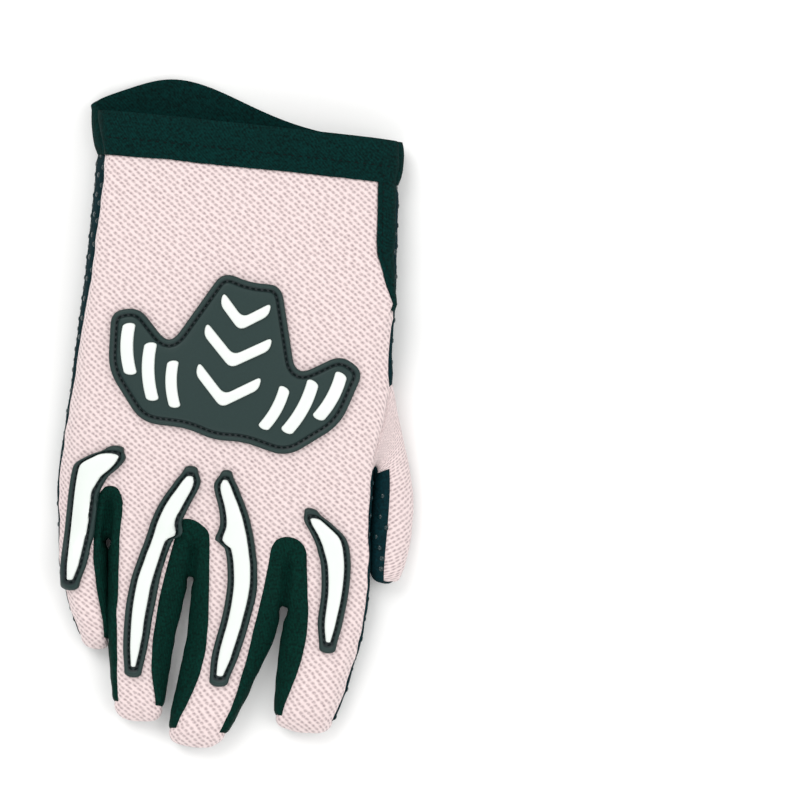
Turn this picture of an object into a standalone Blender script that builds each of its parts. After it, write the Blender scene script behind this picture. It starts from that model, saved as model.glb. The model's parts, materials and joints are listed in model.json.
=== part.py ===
"""A motocross glove for the right hand, lying palm down.

Lengths are in metres, +Z is up, +Y runs towards the cuff and +X towards the thumb. The glove is sewn from
cloth and leather walls. All of them are cut from one smooth skin: a cage of hand sections, finger sections
and thumb sections, subdivided once. Each panel is the part of that skin between its seams, given its wall.
The rubber pieces are flat outlines draped over the finished skin.
"""

import math
from collections import namedtuple

import bmesh
import bpy
from mathutils import Vector
from mathutils.bvhtree import BVHTree
from mathutils.geometry import delaunay_2d_cdt

# The hand, lying flat and slightly filled
PALM_LENGTH = 0.1300  # back rim of the cuff to the crotch between ring and middle finger
KNUCKLE_WIDTH = 0.0915
BODY_HEIGHT = 0.0180
FINGER_HEIGHT = 0.0132
PALM_WRAP = 0.0076  # how far the palm leather shows on the back, along the little-finger side

# The fingers: length from the crotch line to the tip, and width at the base
LITTLE_LENGTH = 0.0325
LITTLE_WIDTH = 0.0160
RING_LENGTH = 0.0500
RING_WIDTH = 0.0250
MIDDLE_LENGTH = 0.0479
MIDDLE_WIDTH = 0.0275
INDEX_LENGTH = 0.0388
INDEX_WIDTH = 0.0240
THUMB_LENGTH = 0.0325  # from its crotch to its tip
THUMB_WIDTH = 0.0131
THUMB_HEIGHT = 0.0105
THUMB_LIFT = 0.0003  # how far it lies above the palm's underside
THUMB_ROOT = 0.0260  # how much of the hand's side it grows from
THUMB_STAND = 0.0048  # how far the thumb's middle stands out from the hand's side

# The cuff
CUFF_BAND = 0.0095
CUFF_LIFT = 0.0130  # how far the palm side of the cuff stands out past the back
SLIT_LENGTH = 0.0470
SLIT_BINDING = 0.0062
CUFF_RAISE = 0.0007  # the palm side of the cuff lies this far over what the palm rests on

# Walls and gaps
KNIT_WALL = 0.0013
LEATHER_WALL = 0.0014
GUSSET_WALL = 0.0011
CUFF_WALL = 0.0022
CUFF_PROUD = 0.0005  # how far a binding stands over the cloth that it covers
SEAM_GAP = 0.0003
OUTER_DRAW = 0.6  # how far a wall's outer face is drawn back from its seam, as a share of SEAM_GAP
PATCH_GAP = 0.0005
DRAPE_REACH = 0.0014  # how far round a point the skin is felt, to lay a rubber piece on it

# The rubber pieces on the back
PLATE_WIDTH = 0.0740
PLATE_HEIGHT = 0.0500
PLATE_THICKNESS = 0.0016
GUARD_THICKNESS = 0.0016
GUARD_WIDTH = 0.0080
LITTLE_GUARD_LENGTH = 0.0403
RING_GUARD_LENGTH = 0.0599
MIDDLE_GUARD_LENGTH = 0.0601
INDEX_GUARD_LENGTH = 0.0388
INLAY_THICKNESS = 0.0007
GUARD_RIM = 0.0021  # black border round a guard's white face
FACE_LEAST = 0.0009  # a guard's white face is nowhere narrower
INLAY_GAP = 0.0004
PLATE_CORNER = 0.0050
CHEVRON_CORNER = 0.0011
PLATE_MESH, INLAY_MESH, GUARD_MESH = 0.0065, 0.0060, 0.0045  # spacing of the points inside an outline

# Sections of the hand. along runs from the cuff rim at 0 to the crotch line at 1; little and thumb are the
# half widths on either side of the middle line, as shares of KNUCKLE_WIDTH; crown is a share of
# BODY_HEIGHT; the four edge columns are the heights where the top and bottom sheets turn into the side,
# as shares of the crown; wrap is the share of PALM_WRAP that shows.
Section = namedtuple(
    "Section", "along little thumb crown top_little low_little top_thumb low_thumb wrap"
)
SECTIONS = [
    Section(0.000, 0.552, 0.462, 0.88, 0.52, 0.20, 0.50, 0.18, 0.8),
    Section(0.073, 0.522, 0.468, 0.95, 0.66, 0.24, 0.60, 0.20, 1.0),
    Section(0.200, 0.518, 0.484, 1.00, 0.72, 0.26, 0.62, 0.22, 1.0),
    Section(0.340, 0.517, 0.499, 1.00, 0.66, 0.22, 0.66, 0.26, 0.9),
    Section(0.450, 0.521, 0.510, 1.00, 0.58, 0.20, 0.72, 0.34, 0.7),
    Section(0.560, 0.517, 0.507, 1.00, 0.50, 0.16, 0.74, 0.40, 0.4),
    Section(0.650, 0.502, 0.499, 1.00, 0.44, 0.14, 0.76, 0.44, 0.1),
    Section(0.730, 0.506, 0.482, 0.97, 0.40, 0.12, 0.80, 0.50, 0.0),
    Section(0.800, 0.510, 0.462, 0.92, 0.38, 0.12, 0.82, 0.54, 0.0),
    Section(0.870, 0.509, 0.472, 0.86, 0.38, 0.12, 0.82, 0.56, 0.0),
    Section(0.930, 0.503, 0.506, 0.80, 0.38, 0.12, 0.80, 0.54, 0.0),
    Section(1.000, 0.487, 0.510, 0.74, 0.38, 0.12, 0.78, 0.50, 0.0),
]
ARCH_HEAD, ARCH_FOOT = 0.95, 1.45  # how wide an arch is at its top and lower down, as shares of its value
ARCH_SPREAD = 1.6  # how soon above the crotch line the columns reach the arch's width
CROTCH_LOW = 0.12  # how far the palm rises between two fingers, as a share of FINGER_HEIGHT
WEB_SINK_FOOT, WEB_SINK_HEAD = 0.80, 0.95  # height of the middle of a web, as shares of the back's
ARCH_ROW = 0.62  # where the row between an arch's head and the crotch line lies
THUMB_ROOT_START = 0.53  # share of PALM_LENGTH where the thumb begins
SLIT_TURN = 0.7  # where the slit's binding begins to narrow, as a share of its length
SLIT_POINT = 0.8  # how far its lower end is drawn to a point
SLIT_REACH = 3.0  # how far the cloth beside it is drawn along, in widths of the binding
HUMP_PEAK, HUMP_RISE, HUMP_FALL = 0.27, 0.20, 0.26  # where the cuff's palm side stands out, and how wide

# Where the fingers part. across is measured from the middle line as a share of KNUCKLE_WIDTH; along is a
# share of PALM_LENGTH; rise is how far the gusset's arch reaches back over the hand, as a share of
# PALM_LENGTH; arch is the arch's half width as a share of KNUCKLE_WIDTH.
Web = namedtuple("Web", "across along rise arch")
WEBS = [
    Web(-0.487, 0.955, 0.100, 0.0),
    Web(-0.334, 0.928, 0.096, 0.032),
    Web(-0.058, 0.995, 0.087, 0.037),
    Web(0.245, 1.048, 0.128, 0.042),
    Web(0.510, 1.012, 0.100, 0.0),
]

# Sections of the fingers. along is a share of the finger's length; left and right are its edges, from the
# middle of its base, and seam_left and seam_right the widths of black gusset seen from above, all as
# shares of its width; height is a share of FINGER_HEIGHT.
FingerRow = namedtuple("FingerRow", "along left right seam_left seam_right height")
FINGERS = {
    "little": [
        FingerRow(0.20, -0.43, 0.50, 0.12, 0.24, 0.98),
        FingerRow(0.45, -0.28, 0.54, 0.12, 0.14, 0.92),
        FingerRow(0.70, -0.08, 0.62, 0.12, 0.09, 0.86),
        FingerRow(0.90, 0.13, 0.66, 0.12, 0.08, 0.72),
        FingerRow(1.00, 0.25, 0.60, 0.08, 0.08, 0.48),
    ],
    "ring": [
        FingerRow(0.20, -0.455, 0.470, 0.13, 0.29, 1.00),
        FingerRow(0.45, -0.405, 0.400, 0.10, 0.25, 0.97),
        FingerRow(0.70, -0.330, 0.375, 0.085, 0.20, 0.92),
        FingerRow(0.90, -0.255, 0.365, 0.05, 0.055, 0.78),
        FingerRow(1.00, -0.170, 0.290, 0.05, 0.05, 0.50),
    ],
    "middle": [
        FingerRow(0.20, -0.480, 0.460, 0.21, 0.25, 1.00),
        FingerRow(0.45, -0.507, 0.325, 0.26, 0.13, 0.97),
        FingerRow(0.70, -0.575, 0.190, 0.17, 0.06, 0.92),
        FingerRow(0.90, -0.600, 0.030, 0.05, 0.04, 0.78),
        FingerRow(1.00, -0.530, -0.080, 0.04, 0.04, 0.50),
    ],
    "index": [
        FingerRow(0.20, -0.500, 0.505, 0.33, 0.10, 1.00),
        FingerRow(0.45, -0.510, 0.425, 0.29, 0.10, 0.97),
        FingerRow(0.70, -0.512, 0.310, 0.16, 0.10, 0.92),
        FingerRow(0.90, -0.490, 0.215, 0.052, 0.08, 0.78),
        FingerRow(1.00, -0.400, 0.130, 0.05, 0.05, 0.50),
    ],
}
# Heights of a finger's five top points and two side points, as shares of the finger's own height there
SHOULDER = 0.93
SIDE_TOP, SIDE_LOW = 0.62, 0.24
OUTER_TOP, OUTER_LOW = 0.40, 0.12  # the little finger's free side
THUMB_SIDE_TOP, THUMB_SIDE_LOW = 0.80, 0.50  # the index finger's free side at its base, over the thumb
THUMB_SIDE_END = 0.5  # share of the finger's length by which that side is like the little finger's
TIP_START, TIP_RISE = 0.8, 0.35  # where the underside of a fingertip begins to rise, and how far
LEVEL = 1.4  # how soon along a finger its sections lie square to it
SEAM_AT_BASE = 0.85  # width of the gusset's strips at the crotch line, as a share of the first section's
COLUMN_BLEND = 1.6  # how late along the hand its columns turn towards the fingers' own
FINGER_NAMES = list(FINGERS)
FINGER_SIZES = {
    "little": (LITTLE_LENGTH, LITTLE_WIDTH),
    "ring": (RING_LENGTH, RING_WIDTH),
    "middle": (MIDDLE_LENGTH, MIDDLE_WIDTH),
    "index": (INDEX_LENGTH, INDEX_WIDTH),
}
GUSSET_NAMES = ["gusset_little_ring", "gusset_ring_middle", "gusset_middle_index"]

# Sections of the thumb. along is a share of THUMB_LENGTH from its crotch; out and half are its middle and
# half width, as shares of THUMB_WIDTH, with out measured from THUMB_STAND; height is a share of
# THUMB_HEIGHT.
ThumbRow = namedtuple("ThumbRow", "along out half height")
THUMB_ROWS = [
    ThumbRow(0.03, 0.06, 0.46, 1.00),
    ThumbRow(0.36, 0.12, 0.50, 1.00),
    ThumbRow(0.72, 0.12, 0.47, 0.92),
    ThumbRow(0.93, 0.13, 0.36, 0.72),
    ThumbRow(1.00, 0.14, 0.21, 0.45),
]
# Where the thumb's eight cage lines lie round its section, from its upper left over the palm to its top
THUMB_ANGLES = [143, 195, 235, 270, 315, 350, 40, 97]
CAGE_SWELL = 1.09  # an eight-sided cage shrinks by about this much when it is smoothed

TOP_COLUMNS = 17  # four per finger, and one more
COLUMNS_A_FINGER = 4
TOP_STEPS = range(TOP_COLUMNS)
LOW_STEPS = range(0, TOP_COLUMNS, 2)
LAST = TOP_COLUMNS - 1
BAND_ROW, SLIT_ROWS, ARCH_ROWS = 0, (1, 2), (7, 8)
THUMB_ROWS_OF_HAND = (4, 5)
CROWN_POWER = 2.6  # how boxy a section's top is
WALL_OF = {"palm": LEATHER_WALL, "cuff_back": CUFF_WALL, "cuff_palm": CUFF_WALL, "slit_binding": CUFF_WALL}
WALL_OF.update({name: GUSSET_WALL for name in GUSSET_NAMES})
PROUD = ("cuff_back", "cuff_palm", "slit_binding")


def lerp(a, b, t):
    """The value a share t of the way from a to b."""
    return a + (b - a) * t


def section_at(along):
    """The hand's section at a share of PALM_LENGTH, read between the table's rows."""
    low = max((s for s in SECTIONS if s.along <= along), key=lambda s: s.along, default=SECTIONS[0])
    high = min((s for s in SECTIONS if s.along > along), key=lambda s: s.along, default=SECTIONS[-1])
    span = high.along - low.along
    share = (along - low.along) / span if span > 0 else 0.0
    return Section(*(lerp(a, b, share) for a, b in zip(low, high)))


def web_columns():
    """Where each top column meets the crotch line, from the little finger's side to the thumb's."""
    across = []
    for i, name in enumerate(FINGER_NAMES):
        left, right = WEBS[i].across, WEBS[i + 1].across
        width = (right - left) * KNUCKLE_WIDTH
        row = FINGERS[name][0]
        finger_width = FINGER_SIZES[name][1] * SEAM_AT_BASE
        first = row.seam_left * finger_width / width
        last = row.seam_right * finger_width / width
        shares = (0.0, first, (1.0 + first - last) / 2, 1.0 - last)
        across += [lerp(left, right, share) for share in shares]
    return across + [WEBS[-1].across]


def across_shares(along, width):
    """The top columns' shares of a section's width: even at the cuff, and the fingers' own at the end."""
    columns = web_columns()
    span = columns[-1] - columns[0]
    blend = min(1.0, along) ** COLUMN_BLEND
    even = [j / LAST for j in TOP_STEPS]
    even[LAST - 1] = 1.0 - SLIT_BINDING / width
    return [lerp(even[j], (columns[j] - columns[0]) / span, blend) for j in TOP_STEPS]


def crown(share, low_edge, high_edge, top):
    """Height of the top sheet at a share of the width, between its two edges."""
    edge = low_edge if share < 0.5 else high_edge
    lift = (1.0 - abs(2.0 * share - 1.0) ** CROWN_POWER) ** (1.0 / CROWN_POWER)
    return edge + (top - edge) * lift


def cuff_lift(share):
    """How far the palm side of the cuff stands out past the back: a hump nearer the little finger."""
    spread = HUMP_RISE if share < HUMP_PEAK else HUMP_FALL
    return CUFF_LIFT * math.exp(-(((share - HUMP_PEAK) / spread) ** 2))


def hand_row(along):
    """One row of the cage across the hand: its top points by column, and its low points by column."""
    section = section_at(along)
    left, right = -section.little * KNUCKLE_WIDTH, section.thumb * KNUCKLE_WIDTH
    width = right - left
    top = section.crown * BODY_HEIGHT
    y = -along * PALM_LENGTH
    tops, lows = {}, {}
    for j, share in zip(TOP_STEPS, across_shares(along, width)):
        x = left + share * width
        inset = section.wrap * PALM_WRAP if j == 0 else 0.0
        z = crown(share, section.top_little * top, section.top_thumb * top, top)
        tops[j] = Vector((x + inset, y, z))
        if j in LOW_STEPS:
            edge = {0: section.low_little, LAST: section.low_thumb}.get(j, 0.0)
            lows[j] = Vector((x, y, edge * top))
    return tops, lows


def hand_rows():
    """All rows of the hand, from the cuff rim to the crotch line."""
    start, root = THUMB_ROOT_START, THUMB_ROOT / PALM_LENGTH
    slit = SLIT_LENGTH / PALM_LENGTH
    band = CUFF_BAND / PALM_LENGTH
    alongs = [0.0, band, lerp(band, slit, SLIT_TURN), slit, start, start + root / 2, start + root]
    rows = [hand_row(along) for along in alongs]
    for j, low in rows[0][1].items():
        low.y += cuff_lift(j / LAST)
    for tops, lows in rows[:2]:
        for low in lows.values():
            low.z += CUFF_RAISE
    return rows + [web_row(reach) for reach in (1.0, ARCH_ROW, 0.0)]


def web_row(reach):
    """A row by the fingers: the crotch line at reach 0, the tops of the gussets' arches at reach 1."""
    tops, lows = {}, {}
    columns = web_columns()
    last_finger = len(FINGER_NAMES) - 1
    for j in TOP_STEPS:
        i = min(j // COLUMNS_A_FINGER, last_finger)
        start, end = WEBS[i], WEBS[i + 1]
        share = (columns[j] - start.across) / (end.across - start.across)
        along = lerp(start.along, end.along, share) - reach * lerp(start.rise, end.rise, share)
        near = j % COLUMNS_A_FINGER
        spread = lerp(ARCH_FOOT, ARCH_HEAD, reach**2)
        drawn = min(1.0, reach * ARCH_SPREAD)
        if near == 1 and i > 0:
            columns[j] = lerp(columns[j], start.across + start.arch * spread, drawn)
        if near == COLUMNS_A_FINGER - 1 and i < last_finger:
            columns[j] = lerp(columns[j], end.across - end.arch * spread, drawn)
        section = section_at(along)
        ends = [lerp(WEBS[0].across, -section.little, reach), lerp(WEBS[-1].across, section.thumb, reach)]
        across = {0: ends[0], LAST: ends[1]}.get(j, columns[j])
        top = lerp(FINGER_HEIGHT, section.crown * BODY_HEIGHT, reach)
        low_edge, high_edge = section.top_little * top, section.top_thumb * top
        z = crown((across - ends[0]) / (ends[1] - ends[0]), low_edge, high_edge, top)
        edge = {0: section.low_little, LAST: section.low_thumb}.get(j, 0.0)
        if near == 0 and 0 < j < LAST:
            z *= lerp(WEB_SINK_FOOT, WEB_SINK_HEAD, reach)
            edge = lerp(CROTCH_LOW, 0.0, reach)
        place = Vector((across * KNUCKLE_WIDTH, -along * PALM_LENGTH, z))
        tops[j] = place
        if j in LOW_STEPS:
            lows[j] = Vector((place.x, place.y, edge * top))
    return tops, lows


def finger_rows(name, base_tops):
    """The rows of one finger beyond its base: five points on top and three below in each."""
    length, width = FINGER_SIZES[name]
    first, last = name == FINGER_NAMES[0], name == FINGER_NAMES[-1]
    left, right = base_tops[0], base_tops[COLUMNS_A_FINGER]
    middle = (left + right) / 2
    rows = []
    for row in FINGERS[name]:
        x_left, x_right = middle.x + row.left * width, middle.x + row.right * width
        seam_left, seam_right = row.seam_left * width, row.seam_right * width
        xs = [x_left, x_left + seam_left, (x_left + seam_left + x_right - seam_right) / 2]
        xs += [x_right - seam_right, x_right]
        tip = middle.y - length
        level = min(1.0, row.along * LEVEL)
        y_left = lerp(lerp(left.y, tip, row.along), lerp(middle.y, tip, row.along), level)
        y_right = lerp(lerp(right.y, tip, row.along), lerp(middle.y, tip, row.along), level)
        top = row.height * FINGER_HEIGHT
        floor = (1.0 - row.height) * FINGER_HEIGHT * TIP_RISE if row.along > TIP_START else 0.0
        near = max(0.0, 1.0 - row.along / THUMB_SIDE_END)
        side_left = (OUTER_TOP, OUTER_LOW) if first else (SIDE_TOP, SIDE_LOW)
        side_right = (SIDE_TOP, SIDE_LOW)
        if last:
            side_right = (lerp(OUTER_TOP, THUMB_SIDE_TOP, near), lerp(OUTER_LOW, THUMB_SIDE_LOW, near))
        heights = [side_left[0], SHOULDER, 1.0, SHOULDER, side_right[0]]
        tops = [
            Vector((x, lerp(y_left, y_right, k / COLUMNS_A_FINGER), floor + (top - floor) * height))
            for k, (x, height) in enumerate(zip(xs, heights))
        ]
        lows = {
            0: Vector((xs[0], y_left, floor + (top - floor) * side_left[1])),
            2: Vector((xs[2], tops[2].y, floor)),
            COLUMNS_A_FINGER: Vector((xs[-1], y_right, floor + (top - floor) * side_right[1])),
        }
        rows.append((tops, lows))
    return rows


def thumb_rings(crotch):
    """The rings of the thumb, eight points each, from its crotch to its tip."""
    middle = Vector((crotch.x + THUMB_STAND, crotch.y, THUMB_HEIGHT / 2 + THUMB_LIFT))
    rings = []
    for row in THUMB_ROWS:
        half = row.half * THUMB_WIDTH * CAGE_SWELL
        rise = row.height * THUMB_HEIGHT / 2 * CAGE_SWELL
        centre = middle + Vector((row.out * THUMB_WIDTH, -row.along * THUMB_LENGTH, 0.0))
        ring = []
        for angle in THUMB_ANGLES:
            turn = math.radians(angle)
            ring.append(centre + Vector((half * math.cos(turn), 0.0, rise * math.sin(turn))))
        rings.append(ring)
    return rings


def add_skin_faces(bm, panels):
    """Builds the whole cage in bm, each face tagged with its panel, and returns the arches' top corners."""
    rows = hand_rows()
    tops = [{j: bm.verts.new(p) for j, p in row[0].items()} for row in rows]
    lows = [{j: bm.verts.new(p) for j, p in row[1].items()} for row in rows]

    def face(corners, panel):
        made = bm.faces.new(corners)
        made.material_index = panels.index(panel)

    for r in range(len(rows) - 1):
        on_thumb = r in THUMB_ROWS_OF_HAND
        cuff = r == BAND_ROW
        for j in range(LAST):
            panel = "cuff_back" if cuff else "back"
            if r in SLIT_ROWS and j == LAST - 1:
                panel = "slit_binding"
            beside = (j + 1) % COLUMNS_A_FINGER
            if r in ARCH_ROWS and beside in (0, 1) and 0 < j < LAST - 1:
                panel = GUSSET_NAMES[(j + 1) // COLUMNS_A_FINGER - 1]
            face([tops[r][j], tops[r + 1][j], tops[r + 1][j + 1], tops[r][j + 1]], panel)
        low_panel = "cuff_palm" if cuff else "palm"
        for j in list(LOW_STEPS)[:-1]:
            if not (on_thumb and j == LAST - 2):
                face([lows[r][j], lows[r][j + 2], lows[r + 1][j + 2], lows[r + 1][j]], low_panel)
        face([tops[r][0], lows[r][0], lows[r + 1][0], tops[r + 1][0]], low_panel)
        if not on_thumb:
            face([tops[r][LAST], tops[r + 1][LAST], lows[r + 1][LAST], lows[r][LAST]], low_panel)
    for i, name in enumerate(FINGER_NAMES):
        add_finger_faces(bm, face, i, name, tops[-1], lows[-1])
    add_thumb_faces(bm, face, tops, lows)
    bm.verts.index_update()
    arch_tops = tops[ARCH_ROWS[0]]
    webs = range(COLUMNS_A_FINGER, LAST, COLUMNS_A_FINGER)
    return [(arch_tops[j - 1].index, arch_tops[j + 1].index) for j in webs]


def add_finger_faces(bm, face, i, name, base_tops, base_lows):
    """Joins one finger's rows to the crotch line and closes its tip."""
    start = i * COLUMNS_A_FINGER
    tops = [base_tops[start + k] for k in range(COLUMNS_A_FINGER + 1)]
    lows = {k: base_lows[start + k] for k in (0, 2, COLUMNS_A_FINGER)}
    rows = finger_rows(name, [v.co for v in tops])
    left_side = GUSSET_NAMES[i - 1] if i > 0 else "palm"
    right_side = GUSSET_NAMES[i] if i < len(FINGER_NAMES) - 1 else "palm"
    for n, (next_tops, next_lows) in enumerate(rows):
        at_tip = n == len(rows) - 1
        new_tops = [bm.verts.new(p) for p in next_tops]
        new_lows = {k: bm.verts.new(p) for k, p in next_lows.items()}
        for k in range(COLUMNS_A_FINGER):
            panel = "back"
            if k == 0 and i > 0 and not at_tip:
                panel = left_side
            if k == COLUMNS_A_FINGER - 1 and i < len(FINGER_NAMES) - 1 and not at_tip:
                panel = right_side
            face([tops[k], new_tops[k], new_tops[k + 1], tops[k + 1]], panel)
        for k in (0, 2):
            face([lows[k], lows[k + 2], new_lows[k + 2], new_lows[k]], "palm")
        end = COLUMNS_A_FINGER
        face([tops[0], lows[0], new_lows[0], new_tops[0]], "back" if at_tip else left_side)
        face([tops[end], new_tops[end], new_lows[end], lows[end]], "back" if at_tip else right_side)
        tops, lows = new_tops, new_lows
    face([tops[0], lows[0], lows[2], lows[COLUMNS_A_FINGER], *reversed(tops[1:])], "back")


def add_thumb_faces(bm, face, tops, lows):
    """Grows the thumb out of the opening left in the hand's side and closes its tip."""
    first, last = THUMB_ROWS_OF_HAND[0], THUMB_ROWS_OF_HAND[-1] + 1
    ring = [tops[last][LAST], lows[last][LAST], lows[last][LAST - 2], lows[first + 1][LAST - 2]]
    ring += [lows[first][LAST - 2], lows[first][LAST], tops[first][LAST], tops[first + 1][LAST]]
    knit_sides = (4, 5, 6)
    for n, points in enumerate(thumb_rings(tops[last][LAST].co)):
        new_ring = [bm.verts.new(p) for p in points]
        for k in range(len(ring)):
            after = (k + 1) % len(ring)
            knit = k in knit_sides or (n == 0 and k == 7)
            face([ring[k], ring[after], new_ring[after], new_ring[k]], "thumb_back" if knit else "palm")
        ring = new_ring
    face(ring, "palm")


def round_arches(points, corners):
    """Draws the square tops of the gussets' arches round, and less and less the points beyond them."""
    for left, right in [(points[a].co.xy, points[b].co.xy) for a, b in corners]:
        across = (right - left) / 2
        half = across.length
        across.normalize()
        along = Vector((-across.y, across.x))
        centre = (left + right) / 2 - along * half
        for point in points:
            away = point.co.xy - centre
            square = max(abs(away.dot(across)), abs(away.dot(along)))
            if away.dot(along) > 0 and 0 < square < 2 * half and point.co.z > FINGER_HEIGHT / 2:
                near = min(1.0, 2.0 - square / half)
                point.co.xy = centre + away * lerp(1.0, square / away.length, near)


def point_slit(points):
    """Draws the slit's binding to a point at its lower end, and the cloth beside it with it."""
    taper = (1.0 - SLIT_TURN) * SLIT_LENGTH
    for point in points:
        drawn = SLIT_POINT * max(0.0, 1.0 - abs(-point.co.y - SLIT_LENGTH) / taper)
        edge = section_at(-point.co.y / PALM_LENGTH).thumb * KNUCKLE_WIDTH
        away = (edge - point.co.x) / SLIT_BINDING
        if drawn > 0 and 0 < away < SLIT_REACH and point.co.z > BODY_HEIGHT / 3:
            beside = max(0.0, (away - 1.0) / (SLIT_REACH - 1.0))
            point.co.x = edge - away * SLIT_BINDING * lerp(1.0 - drawn, 1.0, beside)


def smooth_skin(panels):
    """The cage as a mesh, subdivided once, still tagged by panel."""
    bm = bmesh.new()
    arch_corners = add_skin_faces(bm, panels)
    cage = bpy.data.meshes.new("skin_cage")
    bm.to_mesh(cage)
    bm.free()
    helper = bpy.data.objects.new("skin_guide", cage)
    helper.hide_render = True
    helper.display_type = "WIRE"
    bpy.context.scene.collection.objects.link(helper)
    rounding = helper.modifiers.new("Subdivision", "SUBSURF")
    rounding.levels = rounding.render_levels = 1
    bpy.context.view_layer.update()
    graph = bpy.context.evaluated_depsgraph_get()
    skin = bmesh.new()
    evaluated = helper.evaluated_get(graph)
    skin.from_mesh(evaluated.to_mesh())
    evaluated.to_mesh_clear()
    bpy.data.objects.remove(helper)
    skin.verts.ensure_lookup_table()
    round_arches(skin.verts, arch_corners)
    point_slit(skin.verts)
    skin.normal_update()
    return skin


def inward_steps(faces, rim):
    """For each vertex of a panel's rim, the unit step along the skin into the panel."""
    steps = {}
    for vert, edges in rim.items():
        into = Vector()
        for face in vert.link_faces:
            if face in faces:
                into += (face.calc_center_median() - vert.co).normalized()
        along = sum((edge.other_vert(vert).co - vert.co for edge in edges), Vector())
        if len(edges) == 2:
            ends = [edge.other_vert(vert).co for edge in edges]
            along = ends[1] - ends[0]
        along.normalize()
        into -= along * into.dot(along)
        into -= vert.normal * into.dot(vert.normal)
        steps[vert] = into.normalized()
    return steps


def panel_mesh(skin, index, name):
    """The wall of one panel: its stretch of skin, drawn back from its seams, thickened inwards."""
    wall = WALL_OF.get(name, KNIT_WALL)
    proud = CUFF_PROUD if name in PROUD else 0.0
    faces = {face for face in skin.faces if face.material_index == index}
    rim = {}
    for face in faces:
        for edge in face.edges:
            if sum(other in faces for other in edge.link_faces) == 1:
                for vert in edge.verts:
                    rim.setdefault(vert, set()).add(edge)
    steps = inward_steps(faces, rim)
    out = bmesh.new()
    outer, inner = {}, {}
    for vert in {v for face in faces for v in face.verts}:
        step = steps.get(vert, Vector())
        outer[vert] = out.verts.new(vert.co + step * (SEAM_GAP * OUTER_DRAW) + vert.normal * proud)
        inner[vert] = out.verts.new(vert.co + step * SEAM_GAP - vert.normal * (wall - proud))
    for face in faces:
        out.faces.new([outer[v] for v in face.verts])
        out.faces.new([inner[v] for v in reversed(face.verts)])
        for loop in face.loops:
            if sum(other in faces for other in loop.edge.link_faces) == 1:
                a, b = loop.vert, loop.link_loop_next.vert
                # Both walls of a seam are split along the same diagonal, so that they stay apart
                first = a.index < b.index
                out.faces.new([outer[b], outer[a], inner[b] if first else inner[a]])
                out.faces.new([outer[a] if first else outer[b], inner[a], inner[b]])
    mesh = bpy.data.meshes.new(name)
    out.to_mesh(mesh)
    out.free()
    return mesh


def material(name, colour, roughness):
    """A Principled material with the real piece's colour and roughness."""
    made = bpy.data.materials.new(name)
    made.use_nodes = True
    shader = made.node_tree.nodes["Principled BSDF"]
    shader.inputs["Base Color"].default_value = (*colour, 1.0)
    shader.inputs["Roughness"].default_value = roughness
    made.diffuse_color = (*colour, 1.0)
    return made


def add_object(name, mesh, finish, carrier):
    """One named piece with its material, carried by the glove's frame."""
    mesh.materials.clear()
    mesh.materials.append(finish)
    mesh.shade_smooth()
    mesh.set_sharp_from_angle(angle=math.radians(50))
    piece = bpy.data.objects.new(name, mesh)
    bpy.context.scene.collection.objects.link(piece)
    piece.parent = carrier
    return piece


def smooth_value(rows, column, share):
    """A table column read at a share of its length, on a smooth curve through its rows."""
    alongs = [row[0] for row in rows]
    k = max(0, min(len(rows) - 2, sum(share >= a for a in alongs) - 1))
    t = (share - alongs[k]) / (alongs[k + 1] - alongs[k])
    a, b, c, d = [rows[max(0, min(len(rows) - 1, k + step))][column] for step in (-1, 0, 1, 2)]
    curve = 2 * b + (c - a) * t + (2 * a - 5 * b + 4 * c - d) * t**2 + (3 * b - a - 3 * c + d) * t**3
    return curve / 2


CORNER_MOST = 0.45  # a corner's rounding takes at most this share of an edge


def rounded(corners, radius, steps=3):
    """A closed outline with each corner turned into a short curve."""
    points = []
    for k, corner in enumerate(corners):
        before = corners[k - 1] - corner
        after = corners[(k + 1) % len(corners)] - corner
        reach = min(radius, before.length * CORNER_MOST, after.length * CORNER_MOST)
        start = corner + before.normalized() * reach
        end = corner + after.normalized() * reach
        for step in range(steps + 1):
            t = step / steps
            points.append(lerp(lerp(start, corner, t), lerp(corner, end, t), t))
    return points


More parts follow.
